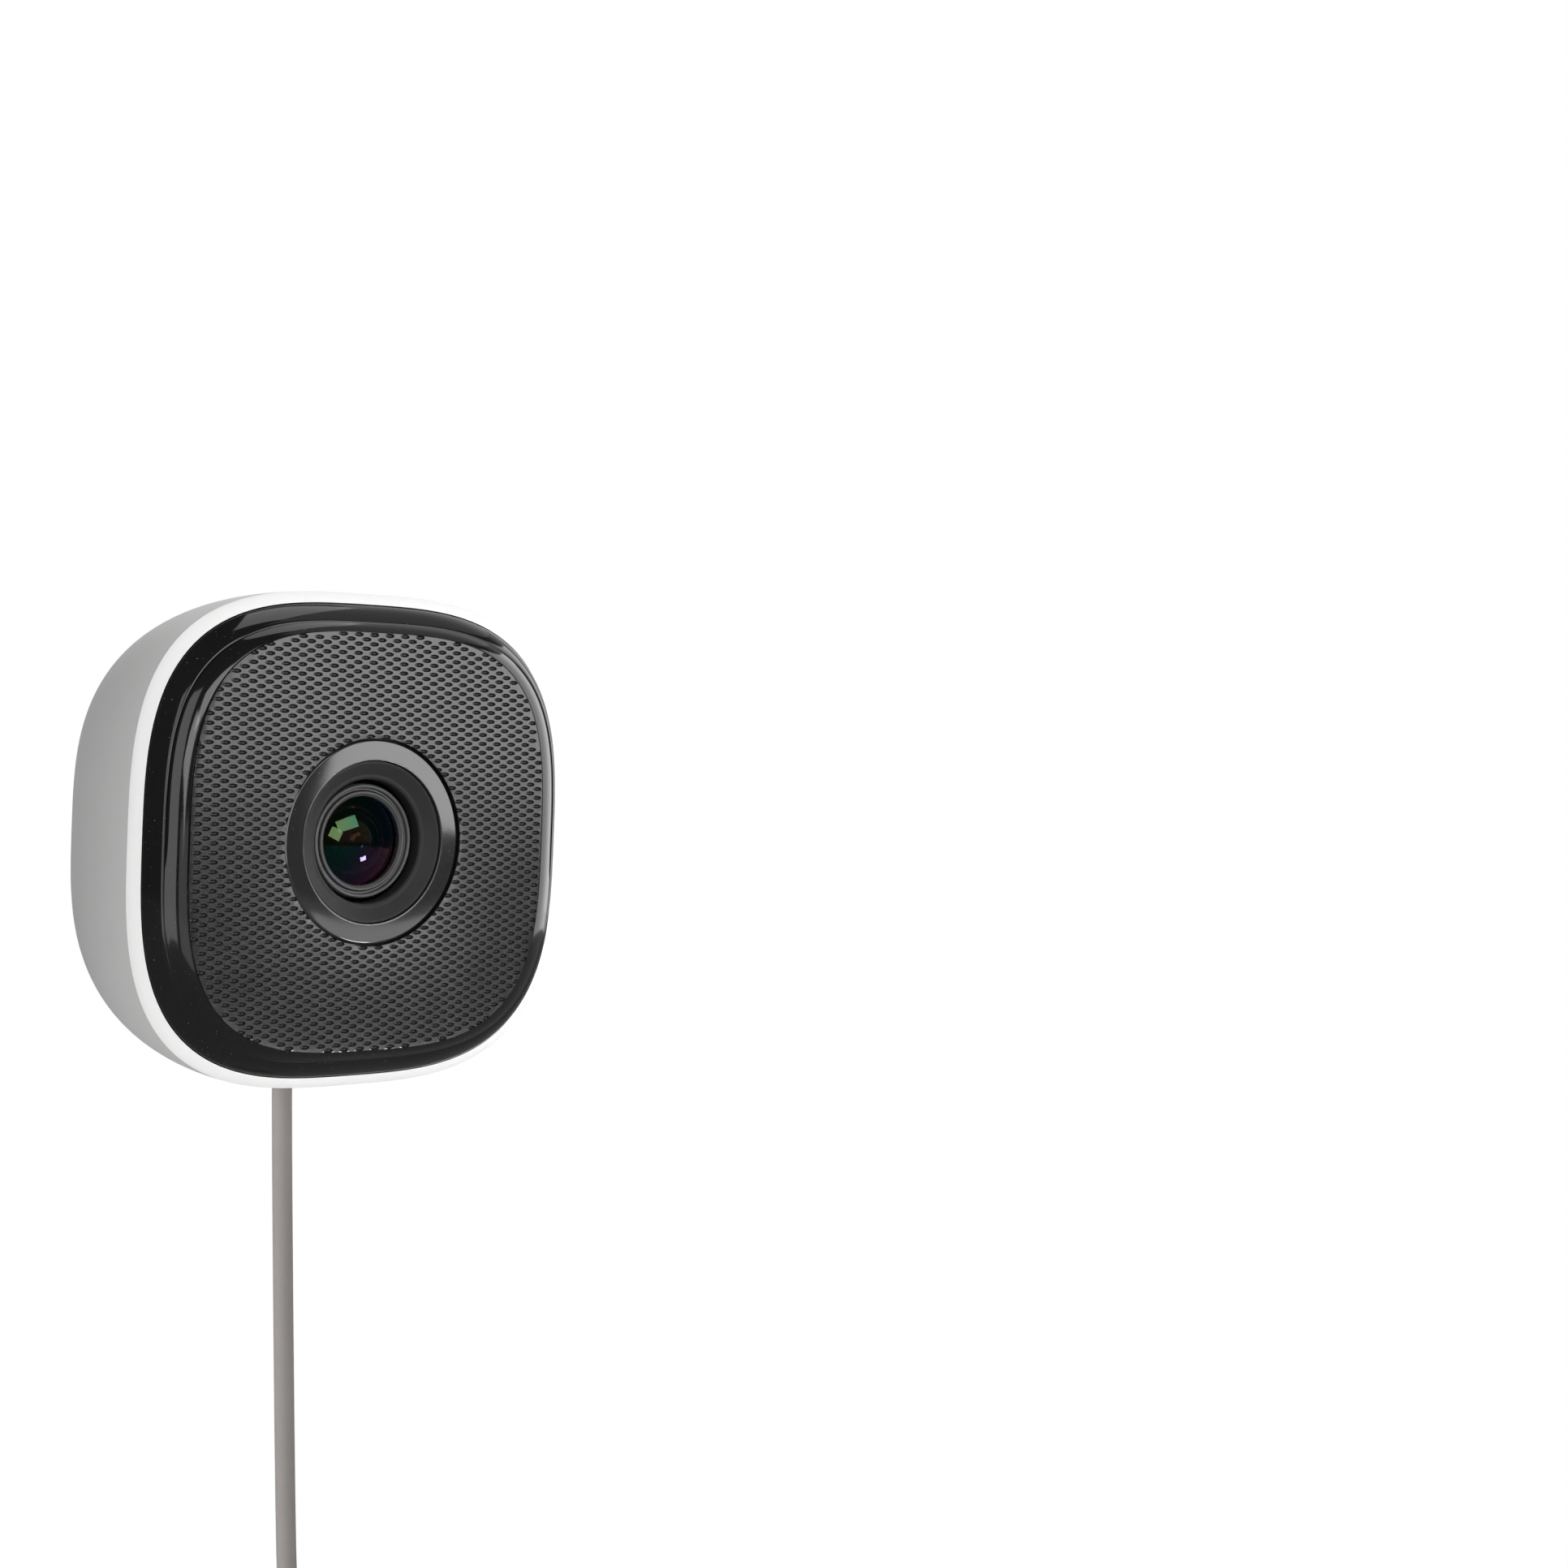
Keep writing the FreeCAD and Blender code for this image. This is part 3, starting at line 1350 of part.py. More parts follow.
def check_all():
    """Stops at any failed object or any sub-part without a valid shape."""
    doc.recompute()
    for item in doc.Objects:
        if "Invalid" in item.State or "Error" in item.State:
            raise RuntimeError(f"{item.Label} failed: {item.State}")
    for item in parts:
        if item.Shape.isNull() or not item.Shape.isValid() or not item.Shape.Solids:
            raise RuntimeError(f"{item.Label} has no valid solid")


def export_all():
    os.makedirs("parts", exist_ok=True)
    for item in parts:
        item.Shape.exportStep(f"parts/{item.Label}.step")
    print(f"{len(parts)} sub-parts written")


make_all()
check_all()
export_all()
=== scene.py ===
"""Looks of a small indoor security camera: housing, dotted front, lens, stand thread and lead.

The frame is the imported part's: +Z is up, the lens looks along -Y, and the origin is the mouth of
the stand's thread in the flat back. Sizes are written in millimetres. "Forward" is the distance
from the flat back towards the lens, and "drop" is the distance below the lens axis.
"""

import json
import logging
import math
from contextlib import contextmanager
from dataclasses import dataclass, field
from enum import Enum
from typing import Iterator, Mapping, Sequence

import bmesh
import bpy
import numpy as np
from mathutils import Matrix, Vector
from mathutils.geometry import delaunay_2d_cdt


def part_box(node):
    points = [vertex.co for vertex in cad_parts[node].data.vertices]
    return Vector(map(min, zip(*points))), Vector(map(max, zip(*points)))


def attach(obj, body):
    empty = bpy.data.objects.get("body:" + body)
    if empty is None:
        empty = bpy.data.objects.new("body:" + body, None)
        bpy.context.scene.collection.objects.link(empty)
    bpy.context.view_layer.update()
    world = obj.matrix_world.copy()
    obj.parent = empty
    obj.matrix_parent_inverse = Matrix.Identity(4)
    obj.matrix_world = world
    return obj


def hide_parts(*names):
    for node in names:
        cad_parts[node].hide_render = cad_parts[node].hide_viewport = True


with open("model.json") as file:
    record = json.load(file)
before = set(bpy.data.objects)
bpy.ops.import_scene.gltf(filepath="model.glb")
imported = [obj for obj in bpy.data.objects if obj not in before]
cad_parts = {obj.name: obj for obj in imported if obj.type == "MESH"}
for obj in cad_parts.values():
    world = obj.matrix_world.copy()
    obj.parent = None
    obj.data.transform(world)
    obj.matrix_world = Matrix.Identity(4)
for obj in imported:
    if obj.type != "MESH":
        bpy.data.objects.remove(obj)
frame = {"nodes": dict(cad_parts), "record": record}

LOG = logging.getLogger("camera")
MM = 0.001
ROUND = 2.0
AROUND = 192
AROUND_SMALL = 96
TINY = 1e-4
SOFT_SHARE = 0.45
SHARP = 32.0
LEAD_PIECES = ("power_lead", "strain_relief", "plug_body")

Colour = tuple[float, float, float]


class Axis(Enum):
    """Which way a turned piece's axis runs, as the direction of growing distance."""

    LENS = "forward"
    DROP = "down"


# Surfaces


def turns(count: int = AROUND) -> np.ndarray:
    """Evenly spaced angles of one full turn, half a step off the axes."""
    return (np.arange(count) + 0.5) * 2 * np.pi / count


def smooth_step(value: np.ndarray, low: float, high: float) -> np.ndarray:
    """A smooth step 3t^2 - 2t^3 from 0 at low to 1 at high."""
    t = np.clip((value - low) / (high - low), 0, 1)
    return t * t * (3 - 2 * t)


def chain(start: int, count: int) -> np.ndarray:
    """Pairs of neighbours round a closed chain of points that are numbered from start."""
    near = np.arange(count)
    return start + np.stack([near, (near + 1) % count], axis=-1)


def curve_row(halves: Sequence[float], power: float, at: float) -> np.ndarray:
    """One row for loops(), as an array of its own."""
    return np.array([[*halves, power, at]])


def loops(rows: np.ndarray, angles: np.ndarray, axis: Axis = Axis.LENS,
          centre: Sequence[float] = (0.0, 0.0, 0.0)) -> np.ndarray:
    """Closed curves |x / a|^n + |z / b|^n = 1, each at its own distance along an axis.

    Args:
        rows: One row (a, b, n, distance) per curve, in millimetres.
        angles: Polar angles at which each curve is read.
        axis: LENS puts a curve across the lens axis, DROP across a hanging one.
        centre: The point that the axis passes through, in millimetres.

    Returns:
        Points in metres, as an array of rows by angles by 3.
    """
    wide, high, power, along = (rows[:, None, k] for k in range(4))
    across, rise = np.cos(angles)[None], np.sin(angles)[None]
    reach = (np.abs(across / wide) ** power + np.abs(rise / high) ** power) ** (-1 / power)
    along = np.broadcast_to(along, reach.shape)
    if axis is Axis.LENS:
        points = np.stack([reach * across, -along, reach * rise], axis=-1)
    else:
        points = np.stack([reach * across, -reach * rise, -along], axis=-1)
    return (points + np.asarray(centre)) * MM


def circles(profile: Sequence[tuple[float, float]]) -> np.ndarray:
    """Rows for loops() from a turned profile of (radius, distance) pairs."""
    pairs = np.asarray(profile, float)
    radius = np.maximum(pairs[:, 0], TINY)
    return np.stack([radius, radius, np.full(len(pairs), ROUND), pairs[:, 1]], axis=-1)


def gap_size(gaps: np.ndarray) -> np.ndarray:
    """How far apart a profile's rows are, from their radii and distances."""
    return np.hypot(gaps[:, 0], gaps[:, 3])[:, None] + TINY


def softened(rows: np.ndarray, radius: float, steps: int = 4, closed: bool = True) -> np.ndarray:
    """Rounds a profile's corners with quadratic curves (1-t)^2 A + 2t(1-t) C + t^2 B.

    Args:
        rows: The profile's corners, as rows for loops().
        radius: Distance from a corner at which its curve starts, in millimetres.
        steps: Points on each curve.
        closed: Whether the last row joins the first, or both ends stay as they are.

    Returns:
        The rounded profile's rows.
    """
    before = np.roll(rows, 1, axis=0) - rows
    after = np.roll(rows, -1, axis=0) - rows
    start = rows + before * np.minimum(radius / gap_size(before), SOFT_SHARE)
    end = rows + after * np.minimum(radius / gap_size(after), SOFT_SHARE)
    t = np.linspace(0, 1, steps)[None, :, None]
    curve = (1 - t) ** 2 * start[:, None] + 2 * t * (1 - t) * rows[:, None] + t ** 2 * end[:, None]
    if closed:
        return curve.reshape(-1, 4)
    return np.vstack([rows[:1], curve[1:-1].reshape(-1, 4), rows[-1:]])


def solid(name: str, points: np.ndarray, closed: bool = True, sharp: float = SHARP) -> bpy.types.Object:
    """A closed mesh over a grid of points that wraps round its second direction.

    Args:
        name: The piece's name.
        points: Grid of points in metres.
        closed: Whether the last row joins the first. If not, both end rows are points on the axis.
        sharp: Edges that turn by more than this many degrees stay sharp.
    """
    rows, columns = points.shape[:2]
    index = np.arange(rows * columns).reshape(rows, columns)
    upper = np.roll(index, -1, axis=0)
    if not closed:
        index, upper = index[:-1], upper[:-1]
    quads = np.stack([index, np.roll(index, -1, 1), np.roll(upper, -1, 1), upper], axis=-1)
    return finished(name, points.reshape(-1, 3), quads.reshape(-1, 4), sharp)


def placed(name: str, data: bpy.types.ID) -> bpy.types.Object:
    """A new object in the scene."""
    piece = bpy.data.objects.new(name, data)
    bpy.context.scene.collection.objects.link(piece)
    return piece


@contextmanager
def reworked(mesh: bpy.types.Mesh) -> Iterator[bmesh.types.BMesh]:
    """Opens a mesh for changes, and writes them back at the end."""
    work = bmesh.new()
    work.from_mesh(mesh)
    yield work
    work.to_mesh(mesh)
    work.free()


def finished(name: str, points: np.ndarray, faces: np.ndarray, sharp: float = SHARP) -> bpy.types.Object:
    """A mesh object with merged doubles, outward faces, smooth shading and sharp creases."""
    mesh = bpy.data.meshes.new(name)
    mesh.from_pydata(points.tolist(), [], faces.tolist())
    tidy_mesh(mesh, sharp)
    return placed(name, mesh)


def tidy_mesh(mesh: bpy.types.Mesh, sharp: float) -> None:
    """Merges doubles, turns the faces outwards by the sign of the volume, and sets the shading."""
    with reworked(mesh) as work:
        bmesh.ops.remove_doubles(work, verts=work.verts, dist=1e-6)
        if work.calc_volume(signed=True) < 0:
            bmesh.ops.reverse_faces(work, faces=work.faces)
    mesh.shade_smooth()
    mesh.set_sharp_from_angle(angle=math.radians(sharp))
    mesh.update()


def carved(piece: bpy.types.Object, cutters: Sequence[bpy.types.Object]) -> None:
    """Takes the cutters out of a piece for good, and removes them."""
    for cutter in cutters:
        change = piece.modifiers.new("cut", "BOOLEAN")
        change.operation = "DIFFERENCE"
        change.solver = "EXACT"
        change.object = cutter
    graph = bpy.context.evaluated_depsgraph_get()
    mesh = bpy.data.meshes.new_from_object(piece.evaluated_get(graph))
    mesh.name = piece.name
    piece.modifiers.clear()
    piece.data = mesh
    for cutter in cutters:
        bpy.data.objects.remove(cutter)
    tidy_mesh(mesh, SHARP)


def block(name: str, low: Sequence[float], high: Sequence[float], bevel: float = 0.0) -> bpy.types.Object:
    """A box between two corners given in millimetres, with bevelled edges if asked."""
    low, high = np.asarray(low, float), np.asarray(high, float)
    corner = np.indices((2, 2, 2)).reshape(3, -1).T
    points = (low + corner * (high - low)) * MM
    faces = np.array([[0, 1, 3, 2], [4, 6, 7, 5], [0, 4, 5, 1], [2, 3, 7, 6], [0, 2, 6, 4], [1, 5, 7, 3]])
    piece = finished(name, points, faces)
    if bevel:
        with reworked(piece.data) as work:
            bmesh.ops.bevel(work, geom=work.edges, offset=bevel * MM, segments=2, affect="EDGES")
        tidy_mesh(piece.data, 50.0)
    return piece


# Shader expressions


class Link:
    """A number or colour on its way through a material, on which sums are written as sums."""

    def __init__(self, graph: "Graph", socket: bpy.types.NodeSocket) -> None:
        """Wraps an output socket of a graph's node."""
        self.graph, self.socket = graph, socket

    def maths(self, operation: str, *values: "Link | float") -> "Link":
        """A Math node's result."""
        return self.graph.node("ShaderNodeMath", {"operation": operation}, dict(enumerate(values)))

    def __add__(self, other: "Link | float") -> "Link":
        """Sum."""
        return self.maths("ADD", self, other)

    def __sub__(self, other: "Link | float") -> "Link":
        """Difference."""
        return self.maths("SUBTRACT", self, other)

    def __rsub__(self, other: float) -> "Link":
        """Difference from a number."""
        return self.maths("SUBTRACT", other, self)

    def __mul__(self, other: "Link | float") -> "Link":
        """Product."""
        return self.maths("MULTIPLY", self, other)

    __radd__ = __add__
    __rmul__ = __mul__

    def sine(self) -> "Link":
        """Sine of an angle in radians."""
        return self.maths("SINE", self)

    def largest(self, other: "Link | float") -> "Link":
        """The larger of two values."""
        return self.maths("MAXIMUM", self, other)

    def step(self, low: float, high: float) -> "Link":
        """A smooth step from 0 at low to 1 at high."""
        return self.graph.node(
            "ShaderNodeMapRange", {"interpolation_type": "SMOOTHSTEP"},
            {"Value": self, "From Min": low, "From Max": high},
        )


class Graph:
    """The nodes of one material or of the world."""

    def __init__(self, tree: bpy.types.NodeTree) -> None:
        """Empties a node tree to write in."""
        self.tree = tree
        tree.nodes.clear()

    def node(self, kind: str, settings: Mapping[str, object] | None = None,
             sockets: Mapping[object, object] | None = None, output: object = 0) -> Link:
        """Adds a node.

        Args:
            kind: The node's type.
            settings: Its settings, which are set first.
            sockets: Values or links of its inputs, by name or number.
            output: The output that is read.
        """
        made = self.tree.nodes.new(kind)
        for key, value in (settings or {}).items():
            setattr(made, key, value)
        for key, value in (sockets or {}).items():
            if isinstance(value, Link):
                self.tree.links.new(value.socket, made.inputs[key])
            elif isinstance(value, tuple) and made.inputs[key].type == "RGBA":
                made.inputs[key].default_value = (*value, 1.0)
            else:
                made.inputs[key].default_value = value
        return Link(self, made.outputs[output])

    def place(self, turned: Sequence[float] = (0.0, 0.0, 0.0)) -> Link:
        """Object coordinates in millimetres, turned by angles in radians."""
        spot = self.node("ShaderNodeTexCoord", output="Object")
        return self.node(
            "ShaderNodeMapping", {"vector_type": "POINT"},
            {"Vector": spot, "Scale": (1 / MM,) * 3, "Rotation": tuple(turned)},
        )

    def part(self, letter: str, spot: Link | None = None) -> Link:
        """One coordinate of a place, in millimetres."""
        return self.node("ShaderNodeSeparateXYZ", sockets={0: spot or self.place()}, output=letter)

    def noise(self, size: float, detail: float = 3.0, stretch: Sequence[float] = (1, 1, 1)) -> Link:
        """Cloudy noise from 0 to 1 with features of a size in millimetres."""
        spot = self.node(
            "ShaderNodeVectorMath", {"operation": "MULTIPLY"},
            {0: self.place(), 1: tuple(value / size for value in stretch)},
        )
        return self.node("ShaderNodeTexNoise", sockets={"Vector": spot, "Scale": 1.0, "Detail": detail})

    def blend(self, mask: "Link | float", first: "Link | Colour", second: "Link | Colour") -> Link:
        """A colour that goes from first to second as the mask goes from 0 to 1."""
        return self.node(
            "ShaderNodeMix", {"data_type": "RGBA"}, {0: mask, 6: first, 7: second}, output=2
        )

    def relief(self, height: Link, depth: float, strength: float = 1.0, under: Link | None = None) -> Link:
        """A bumpy normal: height from 0 to 1 stands for a depth in millimetres."""
        sockets = {"Height": height, "Distance": depth * MM, "Strength": strength}
        if under:
            sockets["Normal"] = under
        return self.node("ShaderNodeBump", sockets=sockets)

    def surface(self, sockets: Mapping[str, object]) -> None:
        """Ends a material in one principled shader."""
        shader = self.node("ShaderNodeBsdfPrincipled", sockets=sockets)
        self.node_output("ShaderNodeOutputMaterial", shader)

    def node_output(self, kind: str, shader: Link) -> None:
        """Ends a tree in a shader."""
        end = self.tree.nodes.new(kind)
        self.tree.links.new(shader.socket, end.inputs["Surface"])


def shade(colour: Colour, factor: float) -> Colour:
    """A colour made lighter or darker."""
    return tuple(min(value * factor, 1.0) for value in colour)


# Finishes


@dataclass(frozen=True)
class Finish:
    """A moulded or painted surface: cloudy colour, smears in its gloss and a fine grain."""

    slot: str
    colour: Colour
    roughness: float = 0.45
    metallic: float = 0.0
    mottle: float = 0.06
    mottle_size: float = 9.0
    smear: float = 0.06
    grain: float = 0.25
    grain_depth: float = 0.004
    extra: Mapping[str, object] = field(default_factory=dict)

    def make(self) -> bpy.types.Material:
        """The finish as a new material."""
        material = bpy.data.materials.new(self.slot)
        material.use_nodes = True
        self.dress(Graph(material.node_tree))
        return material

    def sockets(self, graph: Graph) -> dict[str, object]:
        """The shader's values, which the special finishes change."""
        clouds = graph.noise(self.mottle_size)
        grain = graph.noise(self.grain, 2.0)
        return {
            "Base Color": graph.blend(clouds, shade(self.colour, 1 - self.mottle),
                                      shade(self.colour, 1 + self.mottle)),
            "Roughness": self.roughness + (graph.noise(self.mottle_size * 0.6) - 0.5) * (2 * self.smear),
            "Metallic": self.metallic,
            "Normal": graph.relief(grain, self.grain_depth),
            **self.extra,
        }

    def dress(self, graph: Graph) -> None:
        """Writes the finish's nodes."""
        graph.surface(self.sockets(graph))


@dataclass(frozen=True)
class SatinShell(Finish):
    """White satin moulding: spark texture, faint scuffs and specks."""

    scuff: Colour = (0.62, 0.61, 0.59)

    def sockets(self, graph: Graph) -> dict[str, object]:
        """Adds long thin scuffs in the gloss, and greys them and the specks."""
        values = super().sockets(graph)
        scratches = graph.noise(3.0, 6.0, (1.0, 0.12, 1.0)).step(0.68, 0.74)
        specks = graph.noise(0.35, 1.0).step(0.80, 0.84)
        dirt = scratches * 0.10 + specks * 0.22
        values["Base Color"] = graph.blend(dirt, values["Base Color"], self.scuff)
        values["Roughness"] = values["Roughness"] - scratches * 0.08
        return values


@dataclass(frozen=True)
class Gloss(Finish):
    """Polished black moulding: a clear coat's sheen, wiped smears and a few specks of dust."""

    dust: Colour = (0.30, 0.30, 0.30)
    dust_share: float = 0.35

    def sockets(self, graph: Graph) -> dict[str, object]:
        """Adds dust specks and fine hairline scratches."""
        values = super().sockets(graph)
        specks = graph.noise(0.22, 0.0).step(0.83, 0.86) * self.dust_share
        hairs = graph.noise(2.2, 7.0, (0.15, 1.0, 1.3)).step(0.70, 0.75)
        values["Base Color"] = graph.blend(specks, values["Base Color"], self.dust)
        values["Roughness"] = values["Roughness"] + specks * 0.5 + hairs * 0.05
        return values


@dataclass(frozen=True)
class DottedGloss(Gloss):
    """The dotted front: as the gloss outside the dots, and in them duller, with painted shade that darkens
    them.
    """

    front: float = 46.0
    # Colour of the painted shade down in the dots.
    dot_painted_shade_colour: Colour = (0.006, 0.006, 0.006)

    def sockets(self, graph: Graph) -> dict[str, object]:
        """Paints shade on what lies below the front, and makes it duller."""
        values = super().sockets(graph)
        # Painted shade: the deeper a point lies below the front, the nearer its colour goes to the dark shade
        # colour; it also grows rougher.
        sunk = (graph.part("Y") + self.front).step(0.02, 0.16)
        values["Base Color"] = graph.blend(sunk, values["Base Color"], self.dot_painted_shade_colour)
        values["Roughness"] = values["Roughness"] + sunk * 0.22
        return values


@dataclass(frozen=True)
class Turned(Finish):
    """Lathe-turned metal or moulding, with fine rings about the lens axis."""

    ring_pitch: float = 0.16
    ring_depth: float = 0.006

    def sockets(self, graph: Graph) -> dict[str, object]:
        """Adds the rings as relief and as bands of gloss."""
        values = super().sockets(graph)
        flat = graph.node("ShaderNodeVectorMath", {"operation": "MULTIPLY"},
                          {0: graph.place(), 1: (1.0, 0.0, 1.0)})
        radius = graph.node("ShaderNodeVectorMath", {"operation": "LENGTH"}, {0: flat}, output="Value")
        rings = (radius * (2 * math.pi / self.ring_pitch)).sine() * 0.5 + 0.5
        values["Normal"] = graph.relief(rings, self.ring_depth, under=values["Normal"])
        values["Roughness"] = values["Roughness"] + rings * 0.05
        return values


@dataclass(frozen=True)
class Brushed(Finish):
    """Drawn or plated metal with streaks along one direction and small tarnish marks."""

    streak: Sequence[float] = (1.0, 1.0, 0.05)
    tarnish: Colour = (0.35, 0.31, 0.25)

    def sockets(self, graph: Graph) -> dict[str, object]:
        """Adds streaks and tarnish."""
        values = super().sockets(graph)
        streaks = graph.noise(0.12, 4.0, self.streak)
        marks = graph.noise(2.4, 5.0).step(0.62, 0.75) * 0.35
        values["Base Color"] = graph.blend(marks, values["Base Color"], self.tarnish)
        values["Roughness"] = values["Roughness"] + (streaks - 0.5) * 0.16 + marks * 0.2
        values["Normal"] = graph.relief(streaks, 0.003, under=values["Normal"])
        return values


@dataclass(frozen=True)
class Board(Finish):
    """Solder mask over copper tracks, with plated dots where the layers join."""

    track: Colour = (0.05, 0.24, 0.11)
    plated: Colour = (0.75, 0.66, 0.45)

    def sockets(self, graph: Graph) -> dict[str, object]:
        """Adds tracks, plated dots and their relief."""
        values = super().sockets(graph)
        spot = graph.place((math.pi / 4, 0.0, 0.0))
        cells = graph.node("ShaderNodeTexVoronoi", {"distance": "MANHATTAN"},
                           {"Vector": spot, "Scale": 0.45})
        tracks = (cells * (2 * math.pi * 2.6)).sine().step(0.55, 0.7)
        holes = 1 - graph.node("ShaderNodeTexVoronoi", {"feature": "F1"},
                               {"Vector": graph.place(), "Scale": 0.5}).step(0.10, 0.13)
        values["Base Color"] = graph.blend(
            holes, graph.blend(tracks, values["Base Color"], self.track), self.plated)
        values["Metallic"] = holes * 0.9
        values["Normal"] = graph.relief(tracks, 0.035, under=values["Normal"])
        return values


@dataclass(frozen=True)
class Coated(Finish):
    """Optical glass with an anti-reflex coating that tints what it throws back.

    A low_film above 0 is the coating's thickness below the lens axis.
    """

    film: float = 480.0
    film_ior: float = 1.9
    low_film: float = 0.0

    def glass(self, graph: Graph, film: float) -> Link:
        """Clear glass with a thin film, and wiping marks so faint that they only show in a glint."""
        wiped = graph.noise(2.5, 4.0, (1.0, 1.0, 0.4))
        return graph.node("ShaderNodeBsdfPrincipled", sockets={
            "Base Color": graph.blend(wiped, self.colour, shade(self.colour, 0.97)),
            "Roughness": (wiped - 0.45).largest(0.0) * 0.02,
            "IOR": 1.52,
            "Transmission Weight": 1.0,
            "Thin Film Thickness": film,
            "Thin Film IOR": self.film_ior,
            "Normal": graph.relief(wiped, 0.0002, 0.3),
        })

    def dress(self, graph: Graph) -> None:
        """Writes the glass, which goes over to its other film just below the lens axis."""
        shader = self.glass(graph, self.film)
        if self.low_film:
            below = 1 - graph.part("Z").step(-1.4, 0.3)
            shader = graph.node("ShaderNodeMixShader",
                                sockets={0: below, 1: shader, 2: self.glass(graph, self.low_film)})
        graph.node_output("ShaderNodeOutputMaterial", shader)


@dataclass(frozen=True)
class Woven(Finish):
    """Hook-and-loop strap: crossed threads with a fuzzy face, and painted shade and highlight over the weave.
    """

    thread: float = 0.55

    def sockets(self, graph: Graph) -> dict[str, object]:
        """Adds the weave as relief and as painted shade and highlight, and its fuzz."""
        values = super().sockets(graph)
        turn = 2 * math.pi / self.thread
        warp = (graph.part("Z") * turn).sine()
        weft = ((graph.part("X") + graph.part("Y")) * turn).sine()
        weave_relief_and_painted_shade = warp * weft * 0.5 + 0.5
        fuzz = graph.noise(0.18, 5.0)
        # Painted shade and highlight: the colour is darker where the weave's relief is low and lighter where
        # it is high.
        values["Base Color"] = graph.blend(weave_relief_and_painted_shade, shade(self.colour, 0.5), shade(self.colour, 1.9))
        values["Normal"] = graph.relief(weave_relief_and_painted_shade * 0.7 + fuzz * 0.3, 0.12)
        values["Sheen Weight"] = 0.4
        return values


@dataclass(frozen=True)
class Sheath(Finish):
    """A lead's soft sheath: a slight orange-peel skin and rubbed places."""

    rubbed: Colour = (0.46, 0.43, 0.41)

    def sockets(self, graph: Graph) -> dict[str, object]:
        """Adds rubbed places and the skin's lengthwise drag marks."""
        values = super().sockets(graph)
        rub = graph.noise(7.0, 5.0).step(0.56, 0.74)
        drag = graph.noise(0.5, 4.0, (1.0, 1.0, 0.08))
        values["Base Color"] = graph.blend(rub * 0.35, values["Base Color"], self.rubbed)
        values["Roughness"] = values["Roughness"] - rub * 0.08
        values["Normal"] = graph.relief(drag, 0.012, under=values["Normal"])
        return values


FINISHES: tuple[Finish, ...] = (
    SatinShell("white_plastic", (0.82, 0.82, 0.815), 0.58, mottle=0.012, mottle_size=24.0, smear=0.04,
               grain=0.28, grain_depth=0.006, extra={"Specular IOR Level": 0.16}),
    Gloss("black_gloss", (0.006, 0.006, 0.006), 0.07, mottle=0.2, smear=0.03, grain=0.9,
          grain_depth=0.0015, extra={"Specular IOR Level": 0.45}),
    DottedGloss("black_dotted", (0.014, 0.014, 0.0145), 0.15, mottle=0.15, smear=0.03, grain=0.5,
                grain_depth=0.002, dust_share=0.2, extra={"Specular IOR Level": 0.8}),
    Gloss("ring_black", (0.016, 0.016, 0.017), 0.08, mottle=0.2, smear=0.04, grain=0.8,
          grain_depth=0.001, dust_share=0.2, extra={"Specular IOR Level": 1.0}),
    Finish("hood_black", (0.019, 0.019, 0.019), 0.55, mottle=0.12, mottle_size=4.0, grain=0.12,
           grain_depth=0.010, extra={"Specular IOR Level": 0.28}),
    Turned("barrel_black", (0.085, 0.085, 0.086), 0.40, metallic=0.5, mottle=0.1, grain=0.1,
           grain_depth=0.003, ring_depth=0.003),
    Coated("lens_glass", (0.17, 0.13, 0.145), film=396.0, film_ior=1.38, low_film=556.0),
    Coated("inner_glass", (0.60, 0.42, 0.46), film=560.0, film_ior=1.25),
    Turned("holder_black", (0.035, 0.035, 0.036), 0.6, mottle=0.15, ring_pitch=0.5),
    Coated("filter_glass", (0.72, 0.86, 0.92), film=620.0),
    Board("sensor_chip", (0.07, 0.08, 0.11), 0.25, track=(0.12, 0.10, 0.16), plated=(0.7, 0.6, 0.35)),
    Board("board_green", (0.025, 0.15, 0.065), 0.32, grain=0.4),
    Finish("chip_black", (0.028, 0.028, 0.029), 0.5, mottle=0.2, mottle_size=2.0, grain=0.08,
           grain_depth=0.008),
    Brushed("tin", (0.72, 0.72, 0.70), 0.32, metallic=1.0),
    Brushed("screw_steel", (0.60, 0.60, 0.60), 0.25, metallic=1.0, streak=(0.2, 1.0, 0.2)),
    Brushed("aluminium", (0.75, 0.76, 0.77), 0.36, metallic=1.0, streak=(1.0, 1.0, 0.04)),
    Finish("pad_grey", (0.42, 0.47, 0.52), 0.75, mottle=0.1, grain=0.4, grain_depth=0.03),
    Finish("connector_white", (0.78, 0.77, 0.72), 0.5, mottle=0.05),
    Woven("ribbon_white", (0.78, 0.79, 0.81), 0.4, thread=1.0),
    Gloss("led_lens", (0.72, 0.71, 0.58), 0.12, mottle=0.05, dust_share=0.1),
    Brushed("brass", (0.78, 0.60, 0.30), 0.22, metallic=1.0, streak=(0.1, 1.0, 0.1),
            tarnish=(0.40, 0.25, 0.11)),
    Finish("foam", (0.045, 0.045, 0.045), 0.9, mottle=0.3, mottle_size=0.8, grain=0.5,
           grain_depth=0.12),
    Sheath("cord_taupe", (0.40, 0.372, 0.355), 0.45, mottle=0.04, mottle_size=5.0, grain=0.35,
           grain_depth=0.006),
    Woven("strap_black", (0.022, 0.022, 0.023), 0.85),
    Brushed("plug_metal", (0.74, 0.74, 0.73), 0.24, metallic=1.0, streak=(1.0, 1.0, 0.05)),
)


